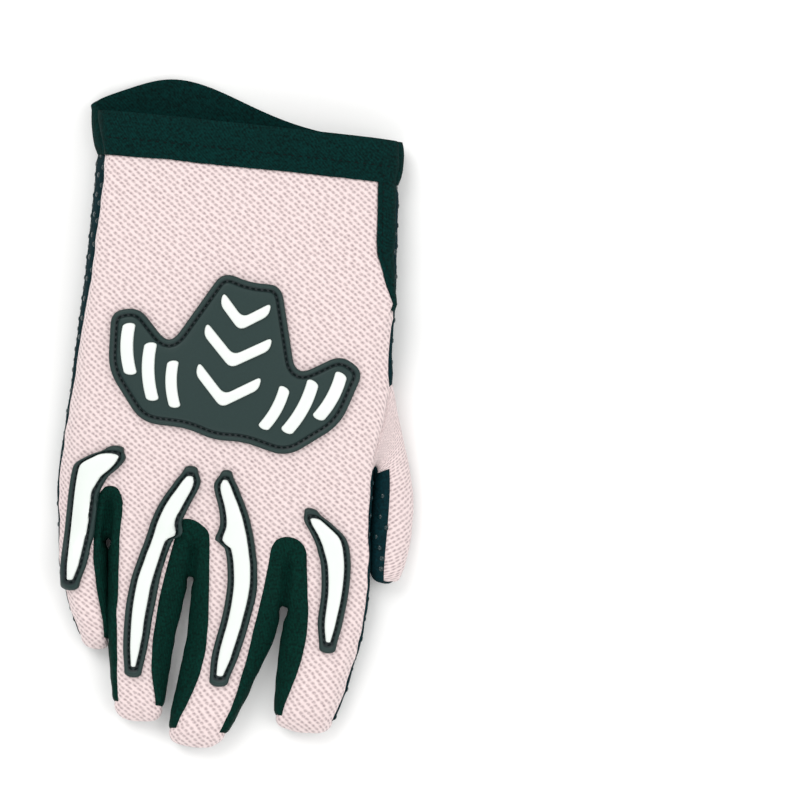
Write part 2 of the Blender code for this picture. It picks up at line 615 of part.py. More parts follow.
# Outline of each finger guard. along is a share of its length; left and right are its edges as shares of
# GUARD_WIDTH from the line that it is placed by. Two of them have a barb, a short step in one edge.
GuardRow = namedtuple("GuardRow", "along left right")
Guard = namedtuple("Guard", "finger length across reach rows")
GUARDS = [
    Guard("little", LITTLE_GUARD_LENGTH, 0.06, 0.643, [
        GuardRow(0.00, 0.55, 1.20), GuardRow(0.05, 0.05, 1.30), GuardRow(0.12, -0.45, 1.10),
        GuardRow(0.20, -0.56, 0.72), GuardRow(0.32, -0.60, 0.46), GuardRow(0.55, -0.62, 0.40),
        GuardRow(0.85, -0.61, 0.23), GuardRow(1.00, -0.53, 0.06),
    ]),
    Guard("ring", RING_GUARD_LENGTH, 0.0, 0.419, [
        GuardRow(0.00, 1.02, 1.52), GuardRow(0.06, 0.74, 1.66), GuardRow(0.16, 0.32, 1.38),
        GuardRow(0.25, 0.06, 1.13), GuardRow(0.315, -0.05, 1.17), GuardRow(0.340, -0.10, 0.87),
        GuardRow(0.42, -0.26, 0.70), GuardRow(0.55, -0.48, 0.50), GuardRow(0.70, -0.56, 0.38),
        GuardRow(0.88, -0.51, 0.30), GuardRow(1.00, -0.39, 0.21),
    ]),
    Guard("middle", MIDDLE_GUARD_LENGTH, 0.0, 0.549, [
        GuardRow(0.00, -0.95, -0.55), GuardRow(0.06, -1.17, -0.30), GuardRow(0.17, -0.92, 0.10),
        GuardRow(0.25, -0.82, 0.33), GuardRow(0.325, -0.92, 0.49), GuardRow(0.350, -0.60, 0.54),
        GuardRow(0.42, -0.44, 0.64), GuardRow(0.54, -0.33, 0.74), GuardRow(0.70, -0.42, 0.55),
        GuardRow(0.88, -0.62, 0.28), GuardRow(1.00, -0.63, 0.03),
    ]),
    Guard("index", INDEX_GUARD_LENGTH, 0.0, 0.658, [
        GuardRow(0.00, -1.10, -0.60), GuardRow(0.07, -1.08, -0.12), GuardRow(0.16, -0.80, 0.42),
        GuardRow(0.24, -0.58, 0.62), GuardRow(0.38, -0.34, 0.74), GuardRow(0.58, -0.22, 0.75),
        GuardRow(0.82, -0.22, 0.64), GuardRow(1.00, -0.08, 0.50),
    ]),
]
GUARD_STATIONS = 15
GUARD_END = 1.15  # border at the ends of a guard's face, as a share of the border along it
END_BULGE = 0.55  # how round the ends are: 1 is a half circle

# Half outline of the knuckle plate, from the middle of its crest round its thumb-side wing to its foot, as
# shares of half its width and half its height
PLATE_POINTS = [(0.0, 0.90), (0.23, 0.96), (0.50, -0.02), (0.80, 0.34), (1.0, 0.22), (0.92, -0.44),
                (0.58, -0.94), (0.22, -0.88), (0.0, -0.94)]
PLATE_PLACE = (0.011, 0.519)  # across as a share of KNUCKLE_WIDTH, along as a share of PALM_LENGTH
PLATE_TILT = -7.5
# The white bars on each wing: their two ends, as shares of half the plate's width and half its height,
# and their half width, as a share of its width
Bar = namedtuple("Bar", "name across_1 up_1 across_2 up_2 half")
BARS = [
    Bar("outer_bar", 0.835, 0.10, 0.745, -0.40, 0.024),
    Bar("middle_bar", 0.640, -0.06, 0.535, -0.63, 0.024),
    Bar("inner_bar", 0.440, -0.20, 0.355, -0.65, 0.022),
]
BAR_BOW = 0.06  # how far a bar bows outwards, as a share of its length
BAR_STATIONS = 5
# The white chevrons down the middle: height of the point, rise and reach of the arms, as shares of half
# the plate's height and width, and the arm's half width, as a share of its width
Chevron = namedtuple("Chevron", "name point rise reach half")
CHEVRONS = [
    Chevron("upper_chevron", 0.34, 0.24, 0.19, 0.026),
    Chevron("middle_chevron", -0.10, 0.30, 0.26, 0.026),
    Chevron("lower_chevron", -0.56, 0.30, 0.25, 0.026),
]


def draped_slab(name, outline, skin_tree, lift, thickness, spacing):
    """A flat outline laid over the skin: its underside follows the skin at a height, its top lies above."""
    low = Vector((min(p.x for p in outline), min(p.y for p in outline)))
    high = Vector((max(p.x for p in outline), max(p.y for p in outline)))
    inside = []
    counts = [max(1, round((high[axis] - low[axis]) / spacing)) for axis in (0, 1)]
    for i in range(1, counts[0]):
        for k in range(1, counts[1]):
            point = Vector((lerp(low.x, high.x, i / counts[0]), lerp(low.y, high.y, k / counts[1])))
            if within(point, outline, spacing * INSIDE_MARGIN):
                inside.append(point)
    count = len(outline)
    edges = [(k, (k + 1) % count) for k in range(count)]
    found = delaunay_2d_cdt(outline + inside, edges, [], 1, 1e-7)
    points, triangles = found[0], found[2]
    laid = [skin_place(skin_tree, point) for point in points]
    lifts = clear_lifts(skin_tree, laid, triangles, lift)
    bm = bmesh.new()
    lower = [bm.verts.new(place + up * rise) for (place, up), rise in zip(laid, lifts)]
    upper = [bm.verts.new(place + up * (rise + thickness)) for (place, up), rise in zip(laid, lifts)]
    seen = {}
    for corners in triangles:
        bm.faces.new([upper[k] for k in corners])
        bm.faces.new([lower[k] for k in reversed(corners)])
        for a, b in zip(corners, [*corners[1:], corners[0]]):
            seen[(a, b)] = True
    for a, b in seen:
        if (b, a) not in seen:
            bm.faces.new([upper[b], upper[a], lower[a], lower[b]])
    bmesh.ops.recalc_face_normals(bm, faces=bm.faces)
    mesh = bpy.data.meshes.new(name)
    bm.to_mesh(mesh)
    bm.free()
    return mesh


CLEAR_LEAST, CLEAR_ROUNDS = 0.8, 6  # share of the lift that every facet keeps, and how often it is raised
INSIDE_MARGIN = 0.35  # how near the outline a point inside it may lie, as a share of the spacing


def clear_lifts(tree, laid, triangles, lift):
    """Heights of a slab's corners over the skin, raised wherever a flat facet would dip too near it."""
    least = lift * CLEAR_LEAST
    lifts = [lift] * len(laid)
    shares = [(1, 0, 1), (0, 1, 1), (1, 1, 0), (1, 1, 1), (4, 1, 1), (1, 4, 1), (1, 1, 4)]
    for _ in range(CLEAR_ROUNDS):
        raised = list(lifts)
        for corners in triangles:
            spots = [laid[k][0] + laid[k][1] * lifts[k] for k in corners]
            for weights in shares:
                spot = sum((p * w for p, w in zip(spots, weights)), Vector()) / sum(weights)
                nearest, normal = tree.find_nearest(spot)[:2]
                short = least - (spot - nearest).dot(normal)
                if short > 0:
                    for k in corners:
                        raised[k] = max(raised[k], lifts[k] + short)
        lifts = raised
    return lifts


def within(point, outline, margin):
    """True if a point lies inside a closed outline and at least margin from each of its edges."""
    odd = False
    for a, b in zip(outline, outline[1:] + outline[:1]):
        if (a.y > point.y) != (b.y > point.y):
            if point.x < a.x + (point.y - a.y) / (b.y - a.y) * (b.x - a.x):
                odd = not odd
        side = b - a
        share = max(0.0, min(1.0, (point - a).dot(side) / max(side.length_squared, 1e-12)))
        if (point - a - side * share).length < margin:
            return False
    return odd


def skin_place(tree, point):
    """The place on the skin above or nearest to a point, and the direction that the skin faces around it."""
    down = Vector((0.0, 0.0, -1.0))
    place = tree.ray_cast(Vector((point.x, point.y, 1.0)), down)[0]
    if place is None:
        place = tree.find_nearest(Vector((point.x, point.y, FINGER_HEIGHT / 2)))[0]
    up = Vector()
    for across, along in ((0, 0), (1, 0), (-1, 0), (0, 1), (0, -1)):
        near = place + Vector((across, along, 0.5)) * DRAPE_REACH
        up += tree.find_nearest(near)[1]
    return place, up.normalized()


def guard_outline(guard, rim):
    """The outline of a finger guard, or of its white face when rim is the border's width."""
    i = FINGER_NAMES.index(guard.finger)
    start, end = WEBS[i], WEBS[i + 1]
    x = (start.across + end.across) / 2 * KNUCKLE_WIDTH + guard.across * GUARD_WIDTH
    y = -(start.along + end.along) / 2 * PALM_LENGTH + guard.reach * guard.length
    ends = rim * GUARD_END / guard.length
    left, right = [], []
    for k in range(GUARD_STATIONS + 1):
        share = lerp(ends, 1.0 - ends, k / GUARD_STATIONS)
        a = smooth_value(guard.rows, 1, share) * GUARD_WIDTH + rim
        b = smooth_value(guard.rows, 2, share) * GUARD_WIDTH - rim
        if b - a < FACE_LEAST:
            middle = (a + b) / 2
            a, b = middle - FACE_LEAST / 2, middle + FACE_LEAST / 2
        height = y - share * guard.length
        left.append(Vector((x + a, height)))
        right.append(Vector((x + b, height)))
    return round_ends(left, right)


def round_ends(left, right):
    """Joins two edges into one outline, closed at both ends by a half round."""

    def arc(start, end, away):
        middle, half = (start + end) / 2, (end - start) / 2
        bulge = away * half.length * END_BULGE
        turns = [math.pi * step / 4 for step in (1, 2, 3)]
        return [middle - half * math.cos(turn) + bulge * math.sin(turn) for turn in turns]

    top_away = (left[0] - left[1] + right[0] - right[1]).normalized()
    foot_away = (left[-1] - left[-2] + right[-1] - right[-2]).normalized()
    foot = arc(left[-1], right[-1], foot_away)
    top = arc(right[0], left[0], top_away)
    return left + foot + right[::-1] + top


def plate_point(across, up):
    """A point of the knuckle plate, from shares of its half width and half height to the glove."""
    turn = math.radians(PLATE_TILT)
    x, y = across * PLATE_WIDTH / 2, up * PLATE_HEIGHT / 2
    place = Vector((PLATE_PLACE[0] * KNUCKLE_WIDTH, -PLATE_PLACE[1] * PALM_LENGTH))
    return place + Vector((x * math.cos(turn) - y * math.sin(turn), x * math.sin(turn) + y * math.cos(turn)))


def plate_outline():
    """The whole outline of the knuckle plate, with its corners rounded."""
    other = [(-across, up) for across, up in reversed(PLATE_POINTS[1:-1])]
    return rounded([plate_point(*point) for point in PLATE_POINTS + other], PLATE_CORNER)


def bar_outline(bar, side):
    """The outline of one white bar of the plate: slightly bowed, with round ends."""
    start, end = plate_point(side * bar.across_1, bar.up_1), plate_point(side * bar.across_2, bar.up_2)
    along = end - start
    out = Vector((along.y, -along.x)) * -side
    half = out.normalized() * bar.half * PLATE_WIDTH
    left, right = [], []
    for k in range(BAR_STATIONS + 1):
        share = k / BAR_STATIONS
        centre = lerp(start, end, share) + out * BAR_BOW * 4 * share * (1.0 - share)
        left.append(centre + half * side)
        right.append(centre - half * side)
    return round_ends(left, right)


def chevron_outline(chevron):
    """The outline of one white chevron, pointing at the fingers."""
    wide = chevron.half * PLATE_WIDTH / (PLATE_HEIGHT / 2) * 2
    top = chevron.point + chevron.rise
    reach = chevron.reach
    corners = [(0.0, chevron.point), (reach, top), (reach, top + wide), (0.0, chevron.point + wide)]
    corners += [(-reach, top + wide), (-reach, top)]
    return rounded([plate_point(*corner) for corner in corners], CHEVRON_CORNER, 2)


def add_rubber(tree, rubber, white, carrier):
    """The knuckle plate, the finger guards and the white pieces on them."""
    plate = draped_slab("knuckle_plate", plate_outline(), tree, PATCH_GAP, PLATE_THICKNESS, PLATE_MESH)
    add_object("knuckle_plate", plate, rubber, carrier)
    top = mesh_tree(plate)
    pieces = [(chevron.name, chevron_outline(chevron)) for chevron in CHEVRONS]
    for bar in BARS:
        pieces += [(bar.name + "_little_side", bar_outline(bar, -1))]
        pieces += [(bar.name + "_thumb_side", bar_outline(bar, 1))]
    for name, outline in pieces:
        piece = draped_slab(name, outline, top, INLAY_GAP, INLAY_THICKNESS, INLAY_MESH)
        add_object(name, piece, white, carrier)
    for guard in GUARDS:
        name = f"{guard.finger}_guard"
        outline = guard_outline(guard, 0.0)
        base = draped_slab(name, outline, tree, PATCH_GAP, GUARD_THICKNESS, GUARD_MESH)
        add_object(name, base, rubber, carrier)
        face = guard_outline(guard, GUARD_RIM)
        name = f"{guard.finger}_guard_face"
        white_face = draped_slab(name, face, mesh_tree(base), INLAY_GAP, INLAY_THICKNESS, GUARD_MESH)
        add_object(name, white_face, white, carrier)


def mesh_tree(mesh):
    """The surface of a built piece, to lay another on it."""
    corners = [v.co for v in mesh.vertices]
    return BVHTree.FromPolygons(corners, [face.vertices for face in mesh.polygons])


def centre_on_base(carrier):
    """Moves the glove so that the middle of its base is the origin."""
    bpy.context.view_layer.update()
    corners = [piece.matrix_world @ v.co for piece in carrier.children for v in piece.data.vertices]
    low = Vector([min(p[axis] for p in corners) for axis in range(3)])
    high = Vector([max(p[axis] for p in corners) for axis in range(3)])
    carrier.location = (-(low.x + high.x) / 2, -(low.y + high.y) / 2, -low.z)


def main():
    for old in list(bpy.data.objects):
        bpy.data.objects.remove(old)
    knit = material("pink_knit", (0.83, 0.70, 0.69), 0.9)
    leather = material("black_leather", (0.012, 0.030, 0.032), 0.65)
    stretch = material("black_stretch_knit", (0.006, 0.022, 0.020), 0.85)
    binding = material("black_binding", (0.011, 0.038, 0.040), 0.85)
    rubber = material("charcoal_rubber", (0.040, 0.072, 0.072), 0.5)
    white = material("white_rubber", (0.88, 0.90, 0.89), 0.45)
    finishes = {
        "back": knit,
        "palm": leather,
        "thumb_back": knit,
        "cuff_back": binding,
        "cuff_palm": binding,
        "slit_binding": binding,
        **{name: stretch for name in GUSSET_NAMES},
    }
    carrier = bpy.data.objects.new("glove_frame", None)
    bpy.context.scene.collection.objects.link(carrier)
    panels = list(finishes)
    skin = smooth_skin(panels)
    for index, name in enumerate(panels):
        add_object(name, panel_mesh(skin, index, name), finishes[name], carrier)
    tree = BVHTree.FromBMesh(skin)
    add_rubber(tree, rubber, white, carrier)
    skin.free()
    centre_on_base(carrier)


main()
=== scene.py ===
"""A motocross glove for the right hand, lying palm down: the finish of its cloth, leather and rubber.

Lengths are in metres. +Z is up, +Y runs from the fingertips to the cuff and +X towards the thumb.
The cloth and leather are one smooth skin, cut into its panels along the seams. The rubber pieces are
outlines with a moulded profile, laid over that skin.
"""

import json
import math
from collections import namedtuple

import bmesh
import bpy
import numpy as np
from mathutils import Matrix, Vector, noise
from mathutils.bvhtree import BVHTree
from mathutils.geometry import delaunay_2d_cdt
from mathutils.kdtree import KDTree

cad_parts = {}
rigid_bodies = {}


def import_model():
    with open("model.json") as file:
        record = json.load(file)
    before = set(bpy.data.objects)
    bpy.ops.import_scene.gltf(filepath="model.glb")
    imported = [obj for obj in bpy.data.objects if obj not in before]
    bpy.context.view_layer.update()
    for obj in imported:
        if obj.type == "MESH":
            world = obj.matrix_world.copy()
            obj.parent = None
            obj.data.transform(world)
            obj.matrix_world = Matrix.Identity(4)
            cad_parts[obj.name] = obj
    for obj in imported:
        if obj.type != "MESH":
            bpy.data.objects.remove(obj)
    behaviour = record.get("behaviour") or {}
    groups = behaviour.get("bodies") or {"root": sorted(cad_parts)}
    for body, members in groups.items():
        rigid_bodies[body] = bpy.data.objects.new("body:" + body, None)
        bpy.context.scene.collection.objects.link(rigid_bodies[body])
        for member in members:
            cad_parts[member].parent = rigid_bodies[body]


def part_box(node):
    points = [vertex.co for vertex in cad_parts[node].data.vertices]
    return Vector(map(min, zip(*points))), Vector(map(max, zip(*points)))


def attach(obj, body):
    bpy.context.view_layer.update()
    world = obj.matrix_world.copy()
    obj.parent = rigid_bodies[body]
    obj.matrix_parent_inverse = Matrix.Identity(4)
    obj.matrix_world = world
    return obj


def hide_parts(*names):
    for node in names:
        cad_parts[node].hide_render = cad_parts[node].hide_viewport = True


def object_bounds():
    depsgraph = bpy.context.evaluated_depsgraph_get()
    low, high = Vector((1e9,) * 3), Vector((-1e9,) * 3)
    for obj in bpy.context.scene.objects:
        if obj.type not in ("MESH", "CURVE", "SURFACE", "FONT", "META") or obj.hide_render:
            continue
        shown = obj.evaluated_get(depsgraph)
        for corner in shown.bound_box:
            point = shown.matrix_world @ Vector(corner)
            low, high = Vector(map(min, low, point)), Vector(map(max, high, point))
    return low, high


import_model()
CAD_BOX = [list(corner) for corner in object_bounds()]

bl_info = {
    "name": "Motocross Glove",
    "version": (1, 0, 0),
    "blender": (4, 5, 0),
    "location": "3D View > Sidebar > Glove",
    "description": "Sews a knit and leather riding glove and moulds its rubber guards",
    "category": "Add Mesh",
}


# Sizes and colours that a user would change


def length(name, default, description):
    """A length in metres, shown in the scene's unit."""
    return bpy.props.FloatProperty(
        name=name, description=description, default=default, min=0.0, precision=4, unit="LENGTH"
    )


def linear(code):
    """The linear RGB of an sRGB hex code."""
    parts = [int(code[k : k + 2], 16) / 255 for k in (1, 3, 5)]
    return [c / 12.92 if c <= 0.04045 else ((c + 0.055) / 1.055) ** 2.4 for c in parts]


def colour(name, code, description):
    """A colour, given by its sRGB hex code."""
    return bpy.props.FloatVectorProperty(
        name=name, description=description, default=linear(code), subtype="COLOR", size=3, min=0.0, max=1.0
    )


class HandSizes(bpy.types.PropertyGroup):
    """The hand of the glove, lying flat and slightly filled."""

    palm_length: length("Palm length", 0.1300, "Back rim of the cuff to the crotch of the ring finger")
    knuckle_width: length("Knuckle width", 0.0915, "Width across the knuckles")
    body_height: length("Body height", 0.0180, "Height of the hand as it lies")
    finger_height: length("Finger height", 0.0132, "Height of the fingers as they lie")
    palm_wrap: length("Palm wrap", 0.0076, "Palm leather that shows beside the back, little-finger side")
    little_length: length("Little finger length", 0.0325, "Crotch line to tip")
    little_width: length("Little finger width", 0.0160, "Width at the base")
    ring_length: length("Ring finger length", 0.0500, "Crotch line to tip")
    ring_width: length("Ring finger width", 0.0250, "Width at the base")
    middle_length: length("Middle finger length", 0.0479, "Crotch line to tip")
    middle_width: length("Middle finger width", 0.0275, "Width at the base")
    index_length: length("Index finger length", 0.0388, "Crotch line to tip")
    index_width: length("Index finger width", 0.0240, "Width at the base")
    thumb_length: length("Thumb length", 0.0325, "Its crotch to its tip")
    thumb_width: length("Thumb width", 0.0131, "Width as it lies")
    thumb_height: length("Thumb height", 0.0105, "Height as it lies")
    thumb_root: length("Thumb root", 0.0260, "How much of the hand's side it grows from")
    thumb_stand: length("Thumb stand", 0.0048, "How far its middle stands out from the hand's side")


class CuffSizes(bpy.types.PropertyGroup):
    """The cuff and its slit."""

    band: length("Cuff band", 0.0095, "Height of the turned band")
    lift: length("Cuff lift", 0.0130, "How far the palm side stands out past the back")
    slit: length("Slit length", 0.0470, "Length of the slit on the thumb side")
    binding: length("Slit binding", 0.0062, "Width of the binding along the slit")
    wall: length("Band thickness", 0.0022, "Thickness of the turned band")
    proud: length("Band proud", 0.0005, "How far a band stands over the cloth that it covers")


class ClothFinish(bpy.types.PropertyGroup):
    """Walls, weave and colours of the cloth and leather."""

    knit_wall: length("Knit thickness", 0.0013, "Thickness of the air-mesh knit")
    leather_wall: length("Leather thickness", 0.0014, "Thickness of the palm")
    stretch_wall: length("Gusset thickness", 0.0011, "Thickness of the stretch gussets")
    knit_across: length("Knit pitch across", 0.00234, "Distance from one pore to the next across the hand")
    knit_along: length("Knit pitch along", 0.00178, "Distance from one pore to the next along the hand")
    dot_across: length("Dot pitch across", 0.0060, "Distance from one silicone dot to the next in a row")
    dot_along: length("Dot pitch along", 0.0060, "Distance from one silicone dot to the next down a column")
    dot_size: length("Dot size", 0.0016, "Width of a silicone dot")
    knit: colour("Knit", "#f1e0de", "Pale pink yarn")
    # The knit shade is painted shade: a darker copy of the yarn for yarn that lies deeper, mixed in at
    # random by the fibres' noise
    knit_shade: colour("Knit shade", "#e2cdcc", "The same yarn where it lies deeper")
    # The pore colour is painted shade: the dark of the glove's shaded inside, seen through the open pores
    pore: colour("Pore", "#9d898b", "What shows through the pores")
    leather: colour("Leather", "#001d22", "Black synthetic suede of the palm")
    dot: colour("Silicone dots", "#07272b", "Grip dots on the palm")
    stretch: colour("Gusset", "#00251e", "Black stretch knit between the fingers")
    binding: colour("Binding", "#002220", "Black turned binding of the cuff")
    thread: colour("Thread", "#00100f", "Black sewing thread")


class RubberFinish(bpy.types.PropertyGroup):
    """Sizes and colours of the moulded rubber."""

    plate_width: length("Plate width", 0.0740, "Width of the knuckle plate")
    plate_height: length("Plate height", 0.0500, "Height of the knuckle plate")
    guard_width: length("Guard width", 0.0080, "Width that the guards' outlines are measured by")
    little_guard: length("Little guard length", 0.0403, "Length of the little finger's guard")
    ring_guard: length("Ring guard length", 0.0599, "Length of the ring finger's guard")
    middle_guard: length("Middle guard length", 0.0601, "Length of the middle finger's guard")
    index_guard: length("Index guard length", 0.0388, "Length of the index finger's guard")
    stitch_pitch: length("Stitch pitch", 0.0017, "Distance from one stitch to the next")
    charcoal: colour("Charcoal rubber", "#182f2d", "The black mouldings")
    # The groove colour is painted shade: a darker charcoal for the shade that falls in the stitched groove
    groove: colour("Groove", "#04171a", "The black rubber of the stitched grooves")
    white: colour("White rubber", "#e7ede8", "The raised white faces")


class StageSettings(bpy.types.PropertyGroup):
    """Floor, lights and camera."""

    camera_height: length("Camera height", 0.9, "Distance from the floor to the camera")
    frame_width: length("Frame width", 0.2296, "Width of the floor that the camera sees")
    camera_turn: bpy.props.FloatProperty(
        name="Camera turn",
        description="How far the glove is turned in the picture",
        default=math.radians(5.9),
        subtype="ANGLE",
    )
    floor: colour("Floor", "#fbfbfa", "Plain pale floor")


def sizes():
    """The hand's sizes."""
    return bpy.context.scene.glove_hand


def cuff():
    """The cuff's sizes."""
    return bpy.context.scene.glove_cuff


def cloth():
    """Walls, weave and colours of the cloth."""
    return bpy.context.scene.glove_cloth


def rubber():
    """Sizes and colours of the rubber."""
    return bpy.context.scene.glove_rubber


# Shares that give the hand its form. The solids have the same, or others that put them within about 2 mm.

# along runs from the cuff rim at 0 to the crotch line at 1; little and thumb are the half widths on either
# side of the middle line, as shares of the knuckle width; crown is a share of the body height; the four
# edge columns are the heights where the top and bottom sheets turn into the side, as shares of the crown;
# wrap is the share of the palm wrap that shows.
Section = namedtuple(
    "Section", "along little thumb crown top_little low_little top_thumb low_thumb wrap"
)
SECTIONS = [
    Section(0.000, 0.552, 0.462, 0.88, 0.52, 0.20, 0.50, 0.18, 0.8),
    Section(0.073, 0.522, 0.468, 0.95, 0.66, 0.24, 0.60, 0.20, 1.0),
    Section(0.200, 0.518, 0.484, 1.00, 0.72, 0.26, 0.62, 0.22, 1.0),
    Section(0.340, 0.517, 0.499, 1.00, 0.66, 0.22, 0.66, 0.26, 0.9),
    Section(0.450, 0.521, 0.510, 1.00, 0.58, 0.20, 0.72, 0.34, 0.7),
    Section(0.560, 0.517, 0.507, 1.00, 0.50, 0.16, 0.74, 0.40, 0.4),
    Section(0.650, 0.502, 0.499, 1.00, 0.44, 0.14, 0.76, 0.44, 0.1),
    Section(0.730, 0.506, 0.482, 0.97, 0.40, 0.12, 0.80, 0.50, 0.0),
    Section(0.800, 0.510, 0.462, 0.92, 0.38, 0.12, 0.82, 0.54, 0.0),
    Section(0.870, 0.509, 0.472, 0.86, 0.38, 0.12, 0.82, 0.56, 0.0),
    Section(0.930, 0.503, 0.506, 0.80, 0.38, 0.12, 0.80, 0.54, 0.0),
    Section(1.000, 0.487, 0.510, 0.74, 0.38, 0.12, 0.78, 0.50, 0.0),
]
ARCH_HEAD, ARCH_FOOT = 0.95, 1.45  # how wide an arch is at its top and lower down, as shares of its value
ARCH_DRAW = 1.6  # how soon above the crotch line the cloth beside an arch follows the arch's sides
ARCH_REACHES = (1.0, 0.62, 0.0)  # the rows by the fingers, from the arches' tops to the crotch line
CROTCH_LOW = 0.12  # how far the palm rises between two fingers, as a share of the finger height
CROTCH_DIP, ARCH_DIP = 0.80, 0.95  # how high the cloth stands between two fingers, at the arch's two ends
COLUMN_POWER = 1.6  # how late along the hand its columns turn from even ones to the fingers' own
CROTCH_SEAMS = 0.85  # how far in a finger's seams lie at the crotch line, as a share of its first row's
STRIP_SLANT = 0.0022  # how much further the strips beside the fingers reach below than above
THUMB_ROOT_START = 0.53  # share of the palm length where the thumb begins
SLIT_TURN = 0.7  # where the slit's binding begins to narrow, as a share of its length
SLIT_POINT = 0.95  # how far its lower end is drawn to a point
SLIT_REACH = 3.0  # how far the cloth beside it is drawn along, in widths of the binding
CUFF_RAISE = 0.0007  # the palm side of the cuff lies this far over the floor
CUFF_PEAK = 0.27  # where the palm side of the cuff stands out furthest, as a share of its width
CUFF_RISE, CUFF_FALL = 0.20, 0.30  # how wide the hump is on either side of that place
THUMB_LIFT = 0.0003  # the thumb lies this far over the floor

# Where the fingers part. across and arch are shares of the knuckle width, along and rise of the palm length
Web = namedtuple("Web", "across along rise arch")
WEBS = [
    Web(-0.487, 0.955, 0.100, 0.0),
    Web(-0.334, 0.928, 0.096, 0.032),
    Web(-0.058, 0.995, 0.087, 0.037),
    Web(0.245, 1.048, 0.128, 0.042),
    Web(0.510, 1.012, 0.100, 0.0),
]

# Sections of the fingers. along is a share of the finger's length, the next four of its width, and height
# of the finger height
FingerRow = namedtuple("FingerRow", "along left right seam_left seam_right height")
FINGERS = {
    "little": [
        FingerRow(0.20, -0.43, 0.50, 0.12, 0.24, 0.98),
        FingerRow(0.45, -0.28, 0.54, 0.12, 0.14, 0.92),
        FingerRow(0.70, -0.08, 0.62, 0.12, 0.09, 0.86),
        FingerRow(0.90, 0.13, 0.66, 0.12, 0.01, 0.72),
        FingerRow(1.00, 0.25, 0.60, 0.08, 0.08, 0.48),
    ],
    "ring": [
        FingerRow(0.20, -0.455, 0.470, 0.13, 0.29, 1.00),
        FingerRow(0.45, -0.405, 0.400, 0.10, 0.25, 0.97),
        FingerRow(0.70, -0.330, 0.375, 0.09, 0.21, 0.92),
        FingerRow(0.90, -0.255, 0.365, 0.01, 0.01, 0.78),
        FingerRow(1.00, -0.170, 0.290, 0.05, 0.05, 0.50),
    ],
    "middle": [
        FingerRow(0.20, -0.480, 0.460, 0.21, 0.25, 1.00),
        FingerRow(0.45, -0.507, 0.325, 0.26, 0.13, 0.97),
        FingerRow(0.70, -0.575, 0.190, 0.19, 0.07, 0.92),
        FingerRow(0.90, -0.600, 0.030, 0.01, 0.01, 0.78),
        FingerRow(1.00, -0.530, -0.080, 0.04, 0.04, 0.50),
    ],
    "index": [
        FingerRow(0.20, -0.500, 0.505, 0.33, 0.10, 1.00),
        FingerRow(0.45, -0.510, 0.425, 0.29, 0.10, 0.97),
        FingerRow(0.70, -0.512, 0.310, 0.18, 0.10, 0.92),
        FingerRow(0.90, -0.490, 0.215, 0.01, 0.08, 0.78),
        FingerRow(1.00, -0.400, 0.130, 0.05, 0.05, 0.50),
    ],
}
FINGER_NAMES = list(FINGERS)
ROW_LEVEL = 1.4  # how soon along a finger its rows lie straight across it
TIP_START, TIP_RISE = 0.8, 0.35  # where the underside of a tip begins to rise, and how much
SEAM_HEIGHT = 0.93  # the upper seams of a finger, as a share of its height

# The upper and the lower edge of a finger's side, as shares of its height: where two fingers meet, at the
# outer side of the little finger, and at the outer side of the index finger, by its base and by its tip
INNER_SIDE, LITTLE_SIDE = (0.62, 0.24), (0.40, 0.12)
INDEX_BASE_SIDE, INDEX_TIP_SIDE = (0.80, 0.50), (0.42, 0.14)
INDEX_SIDE_TURN = 0.5  # share of the index finger's length over which the one turns into the other

GUSSET_NAMES = ["gusset_little_ring", "gusset_ring_middle", "gusset_middle_index"]
PANELS = ["back", "palm", "thumb_back", "cuff_back", "cuff_palm", "slit_binding", *GUSSET_NAMES]

# Sections of the thumb. along is a share of its length, out and half of its width, height of its height
ThumbRow = namedtuple("ThumbRow", "along out half height")
THUMB_ROWS = [
    ThumbRow(-0.03, 0.06, 0.46, 1.00),
    ThumbRow(0.36, 0.12, 0.50, 1.00),
    ThumbRow(0.72, 0.12, 0.47, 0.92),
    ThumbRow(0.93, 0.13, 0.36, 0.72),
    ThumbRow(1.00, 0.14, 0.21, 0.45),
]
THUMB_ANGLES = [143, 195, 235, 270, 315, 350, 40, 97]
CAGE_SWELL = 1.09  # an eight-sided cage shrinks by about this much when it is smoothed

TOP_COLUMNS = 17  # four per finger, and one more
PER_FINGER = 4
TOP_STEPS = range(TOP_COLUMNS)
LOW_STEPS = range(0, TOP_COLUMNS, 2)
LAST = TOP_COLUMNS - 1
BAND_ROW, SLIT_ROWS, ARCH_ROWS = 0, (1, 2), (7, 8)
HAND_THUMB_ROWS = (4, 5)
CROWN_POWER = 2.6  # how boxy a section's top is
SMOOTHING = 3  # subdivisions of the skin's cage


def lerp(a, b, t):
    """The value a share t of the way from a to b."""
    return a + (b - a) * t


def ease(low, high, value):
    """A smooth step from 0 at low to 1 at high."""
    t = max(0.0, min(1.0, (value - low) / (high - low)))
    return t * t * (3.0 - 2.0 * t)


def hump(away, width):
    """A smooth hump: 1 where away is 0, and about a third of that at the width."""
    return math.exp(-((away / width) ** 2))


def section_at(along):
    """The hand's section at a share of the palm length, read between the table's rows."""
    low = max((s for s in SECTIONS if s.along <= along), key=lambda s: s.along, default=SECTIONS[0])
    high = min((s for s in SECTIONS if s.along > along), key=lambda s: s.along, default=SECTIONS[-1])
    span = high.along - low.along
    share = (along - low.along) / span if span > 0 else 0.0
    return Section(*(lerp(a, b, share) for a, b in zip(low, high)))


def finger_size(name):
    """Length and base width of a finger."""
    return getattr(sizes(), name + "_length"), getattr(sizes(), name + "_width")


